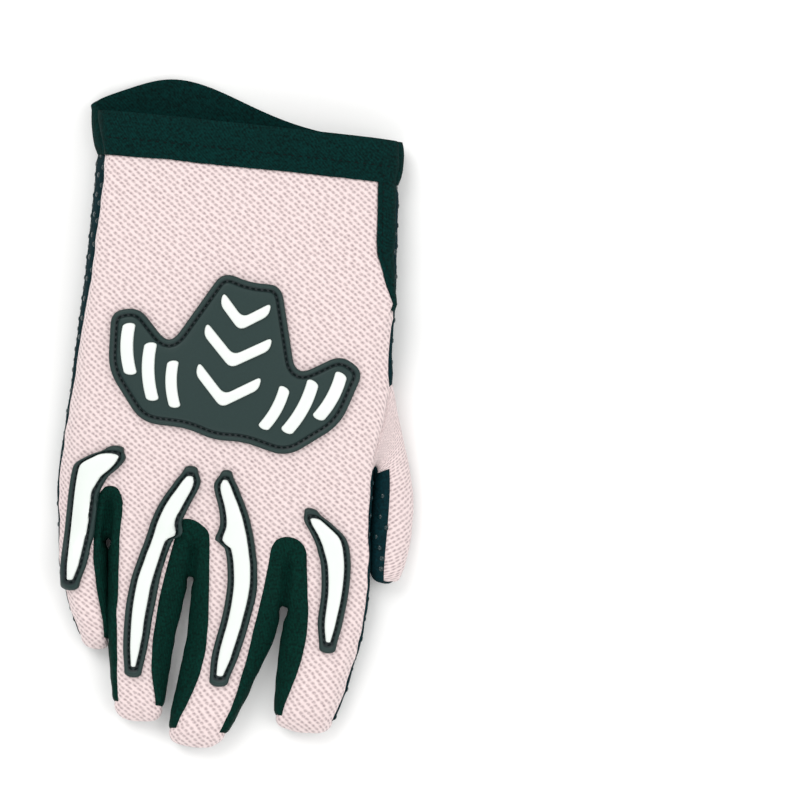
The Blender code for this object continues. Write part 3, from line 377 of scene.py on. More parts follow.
def web_columns():
    """Where each top column meets the crotch line, from the little finger's side to the thumb's."""
    across = []
    for i, name in enumerate(FINGER_NAMES):
        left, right = WEBS[i].across, WEBS[i + 1].across
        width = (right - left) * sizes().knuckle_width
        row = FINGERS[name][0]
        first, last = [
            seam * finger_size(name)[1] * CROTCH_SEAMS / width for seam in (row.seam_left, row.seam_right)
        ]
        shares = (0.0, first, (1.0 + first - last) / 2, 1.0 - last)
        across += [lerp(left, right, share) for share in shares]
    return across + [WEBS[-1].across]


def across_shares(along, width):
    """The top columns' shares of a section's width: even at the cuff, and the fingers' own at the end."""
    columns = web_columns()
    span = columns[-1] - columns[0]
    blend = min(1.0, along) ** COLUMN_POWER
    even = [j / LAST for j in TOP_STEPS]
    even[LAST - 1] = 1.0 - cuff().binding / width
    return [lerp(even[j], (columns[j] - columns[0]) / span, blend) for j in TOP_STEPS]


def crown(share, low_edge, high_edge, top):
    """Height of the top sheet at a share of the width, between its two edges."""
    edge = low_edge if share < 0.5 else high_edge
    lift = (1.0 - abs(2.0 * share - 1.0) ** CROWN_POWER) ** (1.0 / CROWN_POWER)
    return edge + (top - edge) * lift


def cuff_lift(share):
    """How far the palm side of the cuff stands out past the back: a hump nearer the little finger."""
    spread = CUFF_RISE if share < CUFF_PEAK else CUFF_FALL
    return cuff().lift * hump(share - CUFF_PEAK, spread)


def hand_row(along):
    """One row of the cage across the hand: its top points by column, and its low points by column."""
    section = section_at(along)
    knuckles = sizes().knuckle_width
    left, right = -section.little * knuckles, section.thumb * knuckles
    width = right - left
    top = section.crown * sizes().body_height
    y = -along * sizes().palm_length
    tops, lows = {}, {}
    for j, share in zip(TOP_STEPS, across_shares(along, width)):
        x = left + share * width
        inset = section.wrap * sizes().palm_wrap if j == 0 else 0.0
        z = crown(share, section.top_little * top, section.top_thumb * top, top)
        tops[j] = Vector((x + inset, y, z))
        if j in LOW_STEPS:
            edge = {0: section.low_little, LAST: section.low_thumb}.get(j, 0.0)
            lows[j] = Vector((x, y, edge * top))
    return tops, lows


def hand_rows():
    """All rows of the hand, from the cuff rim to the crotch line."""
    palm = sizes().palm_length
    root, slit, band = sizes().thumb_root / palm, cuff().slit / palm, cuff().band / palm
    start = THUMB_ROOT_START
    alongs = [0.0, band, lerp(band, slit, SLIT_TURN), slit, start, start + root / 2, start + root]
    rows = [hand_row(along) for along in alongs]
    for j, low in rows[0][1].items():
        low.y += cuff_lift(j / LAST)
    for tops, lows in rows[:2]:
        for low in lows.values():
            low.z += CUFF_RAISE
    return rows + [web_row(reach) for reach in ARCH_REACHES]


def web_row(reach):
    """A row by the fingers: the crotch line at reach 0, the tops of the gussets' arches at reach 1."""
    tops, lows = {}, {}
    columns = web_columns()
    last_finger = len(FINGER_NAMES) - 1
    for j in TOP_STEPS:
        i = min(j // PER_FINGER, last_finger)
        start, end = WEBS[i], WEBS[i + 1]
        share = (columns[j] - start.across) / (end.across - start.across)
        along = lerp(start.along, end.along, share) - reach * lerp(start.rise, end.rise, share)
        near = j % PER_FINGER
        spread = lerp(ARCH_FOOT, ARCH_HEAD, reach**2)
        drawn = min(1.0, reach * ARCH_DRAW)
        if near == 1 and i > 0:
            columns[j] = lerp(columns[j], start.across + start.arch * spread, drawn)
        if near == PER_FINGER - 1 and i < last_finger:
            columns[j] = lerp(columns[j], end.across - end.arch * spread, drawn)
        section = section_at(along)
        ends = [lerp(WEBS[0].across, -section.little, reach), lerp(WEBS[-1].across, section.thumb, reach)]
        across = {0: ends[0], LAST: ends[1]}.get(j, columns[j])
        top = lerp(sizes().finger_height, section.crown * sizes().body_height, reach)
        low_edge, high_edge = section.top_little * top, section.top_thumb * top
        z = crown((across - ends[0]) / (ends[1] - ends[0]), low_edge, high_edge, top)
        edge = {0: section.low_little, LAST: section.low_thumb}.get(j, 0.0)
        if near == 0 and 0 < j < LAST:
            z *= lerp(CROTCH_DIP, ARCH_DIP, reach)
            edge = lerp(CROTCH_LOW, 0.0, reach)
        place = Vector((across * sizes().knuckle_width, -along * sizes().palm_length, z))
        tops[j] = place
        if j in LOW_STEPS:
            lows[j] = Vector((place.x, place.y, edge * top))
    return tops, lows


def finger_sides(name, along):
    """The edges' heights on the two sides of a finger, at a share of its length."""
    if name == FINGER_NAMES[0]:
        return LITTLE_SIDE, INNER_SIDE
    if name != FINGER_NAMES[-1]:
        return INNER_SIDE, INNER_SIDE
    near = max(0.0, 1.0 - along / INDEX_SIDE_TURN)
    return INNER_SIDE, [lerp(a, b, near) for a, b in zip(INDEX_TIP_SIDE, INDEX_BASE_SIDE)]


def finger_rows(name, base_tops):
    """The rows of one finger beyond its base: five points on top and three below in each."""
    finger_length, width = finger_size(name)
    high = sizes().finger_height
    left, right = base_tops[0], base_tops[PER_FINGER]
    middle = (left + right) / 2
    tip = middle.y - finger_length
    rows = []
    for row in FINGERS[name]:
        x_left, x_right = middle.x + row.left * width, middle.x + row.right * width
        seam_left, seam_right = row.seam_left * width, row.seam_right * width
        xs = [x_left, x_left + seam_left, (x_left + seam_left + x_right - seam_right) / 2]
        xs += [x_right - seam_right, x_right]
        level = min(1.0, row.along * ROW_LEVEL)
        y_left, y_right = [
            lerp(lerp(base.y, tip, row.along), lerp(middle.y, tip, row.along), level)
            for base in (left, right)
        ]
        top = row.height * high
        floor = (1.0 - row.height) * high * TIP_RISE if row.along > TIP_START else 0.0
        side_left, side_right = finger_sides(name, row.along)
        heights = [side_left[0], SEAM_HEIGHT, 1.0, SEAM_HEIGHT, side_right[0]]
        slant = STRIP_SLANT if row is FINGERS[name][-2] else 0.0
        tops = [
            Vector((x, lerp(y_left, y_right, k / PER_FINGER), floor + (top - floor) * height))
            for k, (x, height) in enumerate(zip(xs, heights))
        ]
        lows = {
            0: Vector((xs[0], y_left - slant, floor + (top - floor) * side_left[1])),
            2: Vector((xs[2], tops[2].y, floor)),
            PER_FINGER: Vector((xs[-1], y_right - slant, floor + (top - floor) * side_right[1])),
        }
        rows.append((tops, lows))
    return rows


def thumb_rings(crotch):
    """The rings of the thumb, eight points each, from its crotch to its tip."""
    high = sizes().thumb_height
    middle = Vector((crotch.x + sizes().thumb_stand, crotch.y, high / 2 + THUMB_LIFT))
    rings = []
    for row in THUMB_ROWS:
        half = row.half * sizes().thumb_width * CAGE_SWELL
        rise = row.height * high / 2 * CAGE_SWELL
        centre = middle + Vector((row.out * sizes().thumb_width, -row.along * sizes().thumb_length, 0.0))
        ring = []
        for angle in THUMB_ANGLES:
            turn = math.radians(angle)
            ring.append(centre + Vector((half * math.cos(turn), 0.0, rise * math.sin(turn))))
        rings.append(ring)
    return rings


class Cage:
    """The skin's cage: its faces, each with its panel, and the cloth's own flat coordinates."""

    def __init__(self):
        self.bm = bmesh.new()
        self.flat = self.bm.loops.layers.uv.new("cloth")
        self.top_uv, self.low_uv, self.thumb_uv = {}, {}, {}
        self.girths = {}

    def vert(self, place):
        """Adds a point."""
        return self.bm.verts.new(place)

    def face(self, corners, panel, zone):
        """Adds a face of a panel, unrolled by one of the three zones."""
        made = self.bm.faces.new(corners)
        made.material_index = PANELS.index(panel)
        furthest = max(zone[vert][0] for vert in corners)
        for loop in made.loops:
            u, v = zone[loop.vert]
            if zone is self.thumb_uv and u == 0.0 and furthest > self.girths[loop.vert] / 2:
                u = self.girths[loop.vert]
            loop[self.flat].uv = (u, v)

    def unroll_row(self, tops, lows, middle_u=None):
        """Flat coordinates of a row: lengths along the cloth from its middle, and places along the hand."""
        centre = len(tops) // 2
        line = [tops[j] for j in range(len(tops))]
        start = line[centre].co.x if middle_u is None else middle_u
        self.top_uv[line[centre]] = (start, line[centre].co.y)
        for step in (-1, 1):
            u, k = start, centre
            while 0 <= k + step < len(line):
                u += step * (line[k + step].co - line[k].co).length
                k += step
                self.top_uv[line[k]] = (u, line[k].co.y)
        edges = {min(lows): (line[0], -1), max(lows): (line[-1], 1)}
        for j, low in lows.items():
            self.low_uv[low] = (low.co.x, low.co.y)
            upper, side = edges.get(j, (line[centre], 0))
            drop = (upper.co - low.co).length
            u, v = self.top_uv[upper]
            self.top_uv[low] = (u + side * drop, v - (0 if side else drop))
            if side:
                self.low_uv[upper] = (low.co.x + side * drop, upper.co.y)
        for upper in line[1:-1]:
            self.low_uv[upper] = (upper.co.x, upper.co.y)

    def unroll_ring(self, ring):
        """Flat coordinates of a thumb ring: the length round it, and the place along the thumb."""
        u = 0.0
        for k, vert in enumerate(ring):
            self.thumb_uv[vert] = (u, vert.co.y)
            u += (ring[(k + 1) % len(ring)].co - vert.co).length
        self.girths[ring[0]] = u


def build_cage():
    """The whole skin as a cage of panels, and the points at the corners of the arches' tops."""
    cage = Cage()
    rows = hand_rows()
    tops = [{j: cage.vert(p) for j, p in row[0].items()} for row in rows]
    lows = [{j: cage.vert(p) for j, p in row[1].items()} for row in rows]
    for row_tops, row_lows in zip(tops, lows):
        cage.unroll_row(row_tops, row_lows)
    for r in range(len(rows) - 1):
        add_hand_faces(cage, r, tops, lows)
    for i, name in enumerate(FINGER_NAMES):
        add_finger_faces(cage, i, name, tops[-1], lows[-1])
    add_thumb_faces(cage, tops, lows)
    cage.bm.verts.index_update()
    arch_tops = tops[ARCH_ROWS[0]]
    webs = range(PER_FINGER, LAST, PER_FINGER)
    return cage.bm, [(arch_tops[j - 1].index, arch_tops[j + 1].index) for j in webs]


def add_hand_faces(cage, r, tops, lows):
    """The faces between one row of the hand and the next."""
    on_thumb = r in HAND_THUMB_ROWS
    band = r == BAND_ROW
    for j in range(LAST):
        panel = "cuff_back" if band else "back"
        if r in SLIT_ROWS and j == LAST - 1:
            panel = "slit_binding"
        beside = (j + 1) % PER_FINGER
        if r in ARCH_ROWS and beside in (0, 1) and 0 < j < LAST - 1:
            panel = GUSSET_NAMES[(j + 1) // PER_FINGER - 1]
        corners = [tops[r][j], tops[r + 1][j], tops[r + 1][j + 1], tops[r][j + 1]]
        cage.face(corners, panel, cage.top_uv)
    low_panel = "cuff_palm" if band else "palm"
    for j in list(LOW_STEPS)[:-1]:
        if not (on_thumb and j == LAST - 2):
            corners = [lows[r][j], lows[r][j + 2], lows[r + 1][j + 2], lows[r + 1][j]]
            cage.face(corners, low_panel, cage.low_uv)
    cage.face([tops[r][0], lows[r][0], lows[r + 1][0], tops[r + 1][0]], low_panel, cage.low_uv)
    if not on_thumb:
        corners = [tops[r][LAST], tops[r + 1][LAST], lows[r + 1][LAST], lows[r][LAST]]
        cage.face(corners, low_panel, cage.low_uv)


def add_finger_faces(cage, i, name, base_tops, base_lows):
    """Joins one finger's rows to the crotch line and closes its tip."""
    start = i * PER_FINGER
    end = PER_FINGER
    tops = [base_tops[start + k] for k in range(end + 1)]
    lows = {k: base_lows[start + k] for k in (0, 2, end)}
    middle_u = cage.top_uv[tops[2]][0]
    left_side = GUSSET_NAMES[i - 1] if i > 0 else "palm"
    right_side = GUSSET_NAMES[i] if i < len(FINGER_NAMES) - 1 else "palm"
    rows = finger_rows(name, [v.co for v in tops])
    for n, (next_tops, next_lows) in enumerate(rows):
        at_tip = n == len(rows) - 1
        new_tops = [cage.vert(p) for p in next_tops]
        new_lows = {k: cage.vert(p) for k, p in next_lows.items()}
        cage.unroll_row(dict(enumerate(new_tops)), new_lows, middle_u)
        for k in range(end):
            panel = "back"
            if k == 0 and i > 0 and not at_tip:
                panel = left_side
            if k == end - 1 and i < len(FINGER_NAMES) - 1 and not at_tip:
                panel = right_side
            cage.face([tops[k], new_tops[k], new_tops[k + 1], tops[k + 1]], panel, cage.top_uv)
        for k in (0, 2):
            cage.face([lows[k], lows[k + 2], new_lows[k + 2], new_lows[k]], "palm", cage.low_uv)
        zone = cage.top_uv if at_tip else cage.low_uv
        cage.face([tops[0], lows[0], new_lows[0], new_tops[0]], "back" if at_tip else left_side, zone)
        corners = [tops[end], new_tops[end], new_lows[end], lows[end]]
        cage.face(corners, "back" if at_tip else right_side, zone)
        tops, lows = new_tops, new_lows
    cage.face([tops[0], lows[0], lows[2], lows[end], *reversed(tops[1:])], "back", cage.top_uv)


def add_thumb_faces(cage, tops, lows):
    """Grows the thumb out of the opening left in the hand's side and closes its tip."""
    first, last = HAND_THUMB_ROWS[0], HAND_THUMB_ROWS[-1] + 1
    ring = [tops[last][LAST], lows[last][LAST], lows[last][LAST - 2], lows[first + 1][LAST - 2]]
    ring += [lows[first][LAST - 2], lows[first][LAST], tops[first][LAST], tops[first + 1][LAST]]
    cage.unroll_ring(ring)
    knit_sides = (4, 5, 6)
    for n, points in enumerate(thumb_rings(tops[last][LAST].co)):
        new_ring = [cage.vert(p) for p in points]
        cage.unroll_ring(new_ring)
        for k in range(len(ring)):
            after = (k + 1) % len(ring)
            knit = k in knit_sides or (n == 0 and k == 7)
            corners = [ring[k], ring[after], new_ring[after], new_ring[k]]
            cage.face(corners, "thumb_back" if knit else "palm", cage.thumb_uv)
        ring = new_ring
    cage.face(ring, "palm", cage.thumb_uv)


def round_arches(points, corners):
    """Draws the square tops of the gussets' arches round, and less and less the points beyond them."""
    top_side = sizes().finger_height / 2
    for left, right in [(points[a].co.xy, points[b].co.xy) for a, b in corners]:
        across = (right - left) / 2
        half = across.length
        across.normalize()
        along = Vector((-across.y, across.x))
        centre = (left + right) / 2 - along * half
        for point in points:
            away = point.co.xy - centre
            square = max(abs(away.dot(across)), abs(away.dot(along)))
            if away.dot(along) > 0 and 0 < square < 2 * half and point.co.z > top_side:
                near = min(1.0, 2.0 - square / half)
                point.co.xy = centre + away * lerp(1.0, square / away.length, near)


def slit_narrowing(down):
    """How far the slit's binding is narrowed, as a share of its width, at a distance from the cuff's rim."""
    slit = cuff().slit
    return SLIT_POINT * max(0.0, 1.0 - abs(down - slit) / ((1.0 - SLIT_TURN) * slit))


def thumb_edge(down):
    """Where the hand's thumb side lies, at a distance from the cuff's rim."""
    return section_at(down / sizes().palm_length).thumb * sizes().knuckle_width


def point_slit(points):
    """Draws the slit's binding to a point at its lower end, and the cloth beside it with it."""
    binding = cuff().binding
    for point in points:
        drawn = slit_narrowing(-point.co.y)
        edge = thumb_edge(-point.co.y)
        away = (edge - point.co.x) / binding
        if drawn > 0 and 0 < away < SLIT_REACH and point.co.z > sizes().body_height / 3:
            beside = max(0.0, (away - 1.0) / (SLIT_REACH - 1.0))
            point.co.x = edge - away * binding * lerp(1.0 - drawn, 1.0, beside)


def reshape(mesh, arch_corners):
    """Rounds the arches and points the slit; the cloth's own flat coordinates move with the cloth."""
    before = [vert.co.xy for vert in mesh.vertices]
    round_arches(mesh.vertices, arch_corners)
    point_slit(mesh.vertices)
    moved = [vert.co.xy - old for vert, old in zip(mesh.vertices, before)]
    for loop, flat in zip(mesh.loops, mesh.uv_layers["cloth"].data):
        flat.uv += moved[loop.vertex_index]


def deselect():
    """Leaves nothing selected and nothing in edit mode."""
    if bpy.context.object and bpy.context.object.mode != "OBJECT":
        bpy.ops.object.mode_set(mode="OBJECT")
    bpy.ops.object.select_all(action="DESELECT")


def make_active(piece):
    """Selects one object and makes it the active one."""
    deselect()
    piece.select_set(True)
    bpy.context.view_layer.objects.active = piece


def apply_modifier(piece, kind, **settings):
    """Adds a modifier to a piece and applies it."""
    make_active(piece)
    bpy.ops.object.modifier_add(type=kind)
    added = piece.modifiers[-1]
    for key, value in settings.items():
        setattr(added, key, value)
    bpy.ops.object.modifier_apply(modifier=added.name)


def new_piece(name, mesh):
    """A new object, at the origin, that shows a mesh."""
    piece = bpy.data.objects.new(name, mesh)
    bpy.context.scene.collection.objects.link(piece)
    return piece


SHARP_ANGLE = math.radians(50)  # an edge sharper than this stays an edge


def finish_piece(piece, material, slot, nodes=()):
    """Gives a piece its material, smooth shading, and its place on the glove's one body."""
    piece.data.materials.clear()
    piece.data.materials.append(material)
    for face in piece.data.polygons:
        face.material_index = 0
    make_active(piece)
    bpy.ops.object.shade_smooth_by_angle(angle=SHARP_ANGLE)
    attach(piece, "root")
    if nodes:
        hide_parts(*nodes)
    deselect()


RIM_GAP = 0.00018  # the solids' cuff stops this far short of the skin's rim


def frame_shift(mesh):
    """How far the cage lies from the solids: the skin's middle and the cuff's rim tell."""
    xs = [v.co.x for v in mesh.vertices]
    boxes = [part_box(name) for name in PANELS]
    low = min(box[0][0] for box in boxes)
    high = max(box[1][0] for box in boxes)
    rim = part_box("cuff_back")[1][1]
    return Vector(((low + high) / 2 - (min(xs) + max(xs)) / 2, rim + RIM_GAP, 0.0))


REST_HEIGHT, FREE_HEIGHT = 0.0008, 0.0050  # cloth lies flat below the first, and is free above the second

# How the cloth runs at a seam: it dips at the stitches, swells beside them, and puckers
SEAM_DIP, SEAM_DIP_WIDTH = 0.00042, 0.0006
SEAM_ROLL, SEAM_ROLL_AT, SEAM_ROLL_WIDTH = 0.00016, 0.0019, 0.0011
PUCKER, PUCKER_REACH, PUCKER_LENGTH = 0.00044, 0.0050, 0.0042
PUCKER_SEED = Vector((3.1, 0.0, 7.7))

# Long soft folds that run at a slant over the hand, by shares of the places across and along it
FOLD, FOLD_LENGTH = 0.00080, 0.030
FOLD_ACROSS, FOLD_ALONG = (0.7, 0.5), (-0.4, 0.6)

# Short creases across the fingers, drawn out sideways and upwards by two shares. They grow from one place
# by the crotch line to another, both measured from it towards the cuff.
CREASE, CREASE_LENGTH = 0.00040, 0.0085
CREASE_WIDTH, CREASE_HEIGHT = 0.35, 0.4
CREASE_BEGIN, CREASE_FULL = 0.008, -0.014
CREASE_SEED = Vector((0.0, 5.3, 1.9))

# The groove down an arch between two fingers, measured from the arch's head and, where it ends, the crotch
WEB_HALF, WEB_ABOVE = 0.012, 0.004  # the cloth that an arch moves: this far beside it and above its head
WEB_GROOVE, WEB_GROOVE_WIDTH = 0.0022, 0.0011
GROOVE_BEGIN, GROOVE_FULL, GROOVE_END = 0.0020, 0.0060, 0.006

# The gathers that fan out round the arch's top, in a ring about a middle below its head
GATHERS, GATHER = 13, 0.00034
GATHER_MIDDLE, GATHER_RADIUS, GATHER_WIDTH, GATHER_EDGE = 0.0050, 0.0035, 0.0022, 0.002

BAND_ROLL, BAND_ROLL_POWER = 0.0007, 0.7  # how far and how squarely the cuff's band swells between its edges
BAND_WAVE, BAND_WAVE_LENGTH = 0.0006, 0.018  # how its lower edge wanders
BAND_WAVE_REACH = 0.5  # how far from that edge it does, as a share of the band
BAND_WAVE_SEED = 2.7


def seam_points(mesh):
    """The points where two panels meet."""
    panel_of = {}
    seams = set()
    for face in mesh.polygons:
        for k in face.vertices:
            if panel_of.setdefault(k, face.material_index) != face.material_index:
                seams.add(k)
    return seams


def shape_cloth(mesh, shift):
    """Moves the skin's points as sewn cloth moves them: seams, puckers, soft folds and gathers."""
    seams = seam_points(mesh)
    tree = KDTree(len(seams))
    for k in seams:
        tree.insert(mesh.vertices[k].co, k)
    tree.balance()
    palm, knuckles = sizes().palm_length, sizes().knuckle_width
    webs = []
    for web in WEBS[1:-1]:
        x = web.across * knuckles + shift.x
        crotch = -web.along * palm + shift.y
        webs.append((x, crotch, crotch + web.rise * palm))
    crotch_line = -palm + shift.y
    moves = []
    for vert in mesh.vertices:
        place = vert.co
        gap = tree.find(place)[2]
        upper = ease(REST_HEIGHT, FREE_HEIGHT, place.z)
        move = -SEAM_DIP * hump(gap, SEAM_DIP_WIDTH)
        move += SEAM_ROLL * hump(gap - SEAM_ROLL_AT, SEAM_ROLL_WIDTH) * upper
        ripple = noise.noise(place / PUCKER_LENGTH + PUCKER_SEED)
        move += PUCKER * ripple * math.exp(-gap / PUCKER_REACH) * upper
        across, along = [place.x * a + place.y * b for a, b in (FOLD_ACROSS, FOLD_ALONG)]
        move += FOLD * noise.noise(Vector((across, along, 0.0)) / FOLD_LENGTH) * upper
        on_finger = ease(CREASE_BEGIN, CREASE_FULL, place.y - crotch_line)
        bent = Vector((place.x * CREASE_WIDTH, place.y, place.z * CREASE_HEIGHT)) / CREASE_LENGTH
        move += CREASE * noise.noise(bent + CREASE_SEED) * on_finger * upper
        for x, crotch, head in webs:
            move += web_move(place, x, crotch, head) * upper
        across_band = (shift.y - place.y) / cuff().band
        if 0.0 < across_band < 1.0:
            move += BAND_ROLL * math.sin(math.pi * across_band) ** BAND_ROLL_POWER * upper
        wander = noise.noise(Vector((place.x / BAND_WAVE_LENGTH, BAND_WAVE_SEED, 0.0)))
        near_edge = hump(across_band - 1.0, BAND_WAVE_REACH) * upper
        moves.append(vert.normal * move + Vector((0.0, BAND_WAVE * wander * near_edge, 0.0)))
    for vert, move in zip(mesh.vertices, moves):
        vert.co += move


def web_move(place, x, crotch, head):
    """The groove down the middle of a gusset's arch, and the gathers round the arch's top."""
    if abs(place.x - x) > WEB_HALF or place.y > head + WEB_ABOVE:
        return 0.0
    groove = WEB_GROOVE * hump(place.x - x, WEB_GROOVE_WIDTH)
    groove *= ease(head - GROOVE_BEGIN, head - GROOVE_FULL, place.y)
    groove *= ease(crotch - GROOVE_END, crotch, place.y)
    away = place.xy - Vector((x, head - GATHER_MIDDLE))
    gathers = GATHER * math.cos(GATHERS * math.atan2(away.x, away.y))
    gathers *= hump(away.length - GATHER_RADIUS, GATHER_WIDTH)
    return gathers * ease(-GATHER_EDGE, GATHER_EDGE, away.y) - groove


CUT_EDGE, BAND_EDGE, SLIT_EDGE = 0.0003, 0.0007, 0.0006  # how far the panels' edges are turned round

# The piece that each panel becomes
CLOTH_PIECES = {
    "back": "knit_back",
    "thumb_back": "knit_thumb",
    "palm": "leather_palm",
    "gusset_little_ring": "stretch_little_ring",
    "gusset_ring_middle": "stretch_ring_middle",
    "gusset_middle_index": "stretch_middle_index",
    "cuff_back": "band_back",
    "cuff_palm": "band_palm",
    "slit_binding": "band_slit",
}


def panel_finishes():
    """For each panel: its material, slot, wall, how proud it stands, and how far its edges are turned."""
    walls, bands = cloth(), cuff()
    knit = (knitted_air_mesh(), "pink_knit", walls.knit_wall, 0.0, CUT_EDGE)
    leather = (synthetic_suede(), "black_leather", walls.leather_wall, 0.0, CUT_EDGE)
    stretch = (stretch_jersey(), "black_stretch_knit", walls.stretch_wall, 0.0, CUT_EDGE)
    binding = (cotton_binding(), "black_binding", bands.wall, bands.proud)
    finishes = dict.fromkeys(GUSSET_NAMES, stretch)
    finishes.update(back=knit, thumb_back=knit, palm=leather, slit_binding=(*binding, SLIT_EDGE))
    finishes.update(cuff_back=(*binding, BAND_EDGE), cuff_palm=(*binding, BAND_EDGE))
    return finishes


class GLOVE_OT_sew_skin(bpy.types.Operator):
    """Sews the knit, leather, gusset and cuff panels from one smooth skin"""

    bl_idname = "glove.sew_skin"
    bl_label = "Sew the panels"

    def execute(self, context):
        mesh = bpy.data.meshes.new("skin")
        bm, arch_corners = build_cage()
        bm.to_mesh(mesh)
        bm.free()
        finishes = panel_finishes()
        for name in PANELS:
            mesh.materials.append(bpy.data.materials.new("cut_" + name))
        skin = new_piece("skin", mesh)
        apply_modifier(skin, "SUBSURF", levels=SMOOTHING, render_levels=SMOOTHING)
        reshape(skin.data, arch_corners)
        shift = frame_shift(skin.data)
        context.scene["glove_shift"] = list(shift)
        skin.data.transform(Matrix.Translation(shift))
        shape_cloth(skin.data, shift)
        make_active(skin)
        bpy.ops.object.mode_set(mode="EDIT")
        bpy.ops.mesh.select_all(action="SELECT")
        bpy.ops.mesh.separate(type="MATERIAL")
        bpy.ops.object.mode_set(mode="OBJECT")
        for piece in list(context.selected_objects):
            cut = piece.data.materials[piece.data.polygons[0].material_index].name
            panel = cut.removeprefix("cut_")
            self.finish_panel(piece, panel, *finishes[panel])
        return {"FINISHED"}

    def finish_panel(self, piece, panel, material, slot, wall, proud, edge):
        """Gives a panel its wall and its turned edges."""
        piece.name = piece.data.name = CLOTH_PIECES[panel]
        offset = 2 * proud / wall - 1
        apply_modifier(piece, "SOLIDIFY", thickness=wall, offset=offset, use_quality_normals=True)
        turned = {"width": edge, "segments": 2, "limit_method": "ANGLE", "angle_limit": SHARP_ANGLE}
        apply_modifier(piece, "BEVEL", **turned)
        finish_piece(piece, material, slot, [panel])


# Outlines of the rubber

CORNER_SHARE = 0.45  # the most of a side that a rounded corner takes
MITRE_LEAST = 0.6  # a sharp corner is drawn in by no more than the margin over this
END_STEPS = 8


def smooth_value(rows, column, share):
    """A table column read at a share of its length, on a smooth curve through its rows."""
    alongs = [row[0] for row in rows]
    k = max(0, min(len(rows) - 2, sum(share >= a for a in alongs) - 1))
    t = (share - alongs[k]) / (alongs[k + 1] - alongs[k])
    a, b, c, d = [rows[max(0, min(len(rows) - 1, k + step))][column] for step in (-1, 0, 1, 2)]
    curve = 2 * b + (c - a) * t + (2 * a - 5 * b + 4 * c - d) * t**2 + (3 * b - a - 3 * c + d) * t**3
    return curve / 2


def rounded(corners, radius, steps=6):
    """A closed outline with each corner turned into a short curve."""
    points = []
    for k, corner in enumerate(corners):
        before = corners[k - 1] - corner
        after = corners[(k + 1) % len(corners)] - corner
        reach = min(radius, before.length * CORNER_SHARE, after.length * CORNER_SHARE)
        start = corner + before.normalized() * reach
        end = corner + after.normalized() * reach
        for step in range(steps + 1):
            t = step / steps
            points.append(lerp(lerp(start, corner, t), lerp(corner, end, t), t))
    return points


def resampled(outline, spacing):
    """Points at even steps round a closed outline."""
    lengths = [(b - a).length for a, b in zip(outline, outline[1:] + outline[:1])]
    total = sum(lengths)
    count = round(total / spacing)
    points, k, passed = [], 0, 0.0
    for step in range(count):
        goal = total * step / count
        while passed + lengths[k] < goal:
            passed += lengths[k]
            k += 1
        t = (goal - passed) / (lengths[k] or 1.0)
        points.append(lerp(outline[k], outline[(k + 1) % len(outline)], t))
    return points


def inset(outline, rim):
    """A closed outline drawn inwards by an even margin."""
    count = len(outline)
    doubled_area = sum(a.cross(b) for a, b in zip(outline, outline[1:] + outline[:1]))
    side = 1.0 if doubled_area > 0 else -1.0
    points = []
    for k, point in enumerate(outline):
        before = (point - outline[k - 1]).normalized()
        after = (outline[(k + 1) % count] - point).normalized()
        along = (before + after).normalized()
        inward = Vector((-along.y, along.x)) * side
        points.append(point + inward * rim / max(MITRE_LEAST, along.dot(before)))
    return points


def round_ends(left, right):
    """Joins two edges into one outline, closed at both ends by a half round."""

    def arc(start, end, away):
        middle, half = (start + end) / 2, (end - start) / 2
        bulge = away * half.length * END_BULGE
        turns = [math.pi * step / END_STEPS for step in range(1, END_STEPS)]
        return [middle - half * math.cos(turn) + bulge * math.sin(turn) for turn in turns]

    top_away = (left[0] - left[1] + right[0] - right[1]).normalized()
    foot_away = (left[-1] - left[-2] + right[-1] - right[-2]).normalized()
    foot = arc(left[-1], right[-1], foot_away)
    top = arc(right[0], left[0], top_away)
    return left + foot + right[::-1] + top


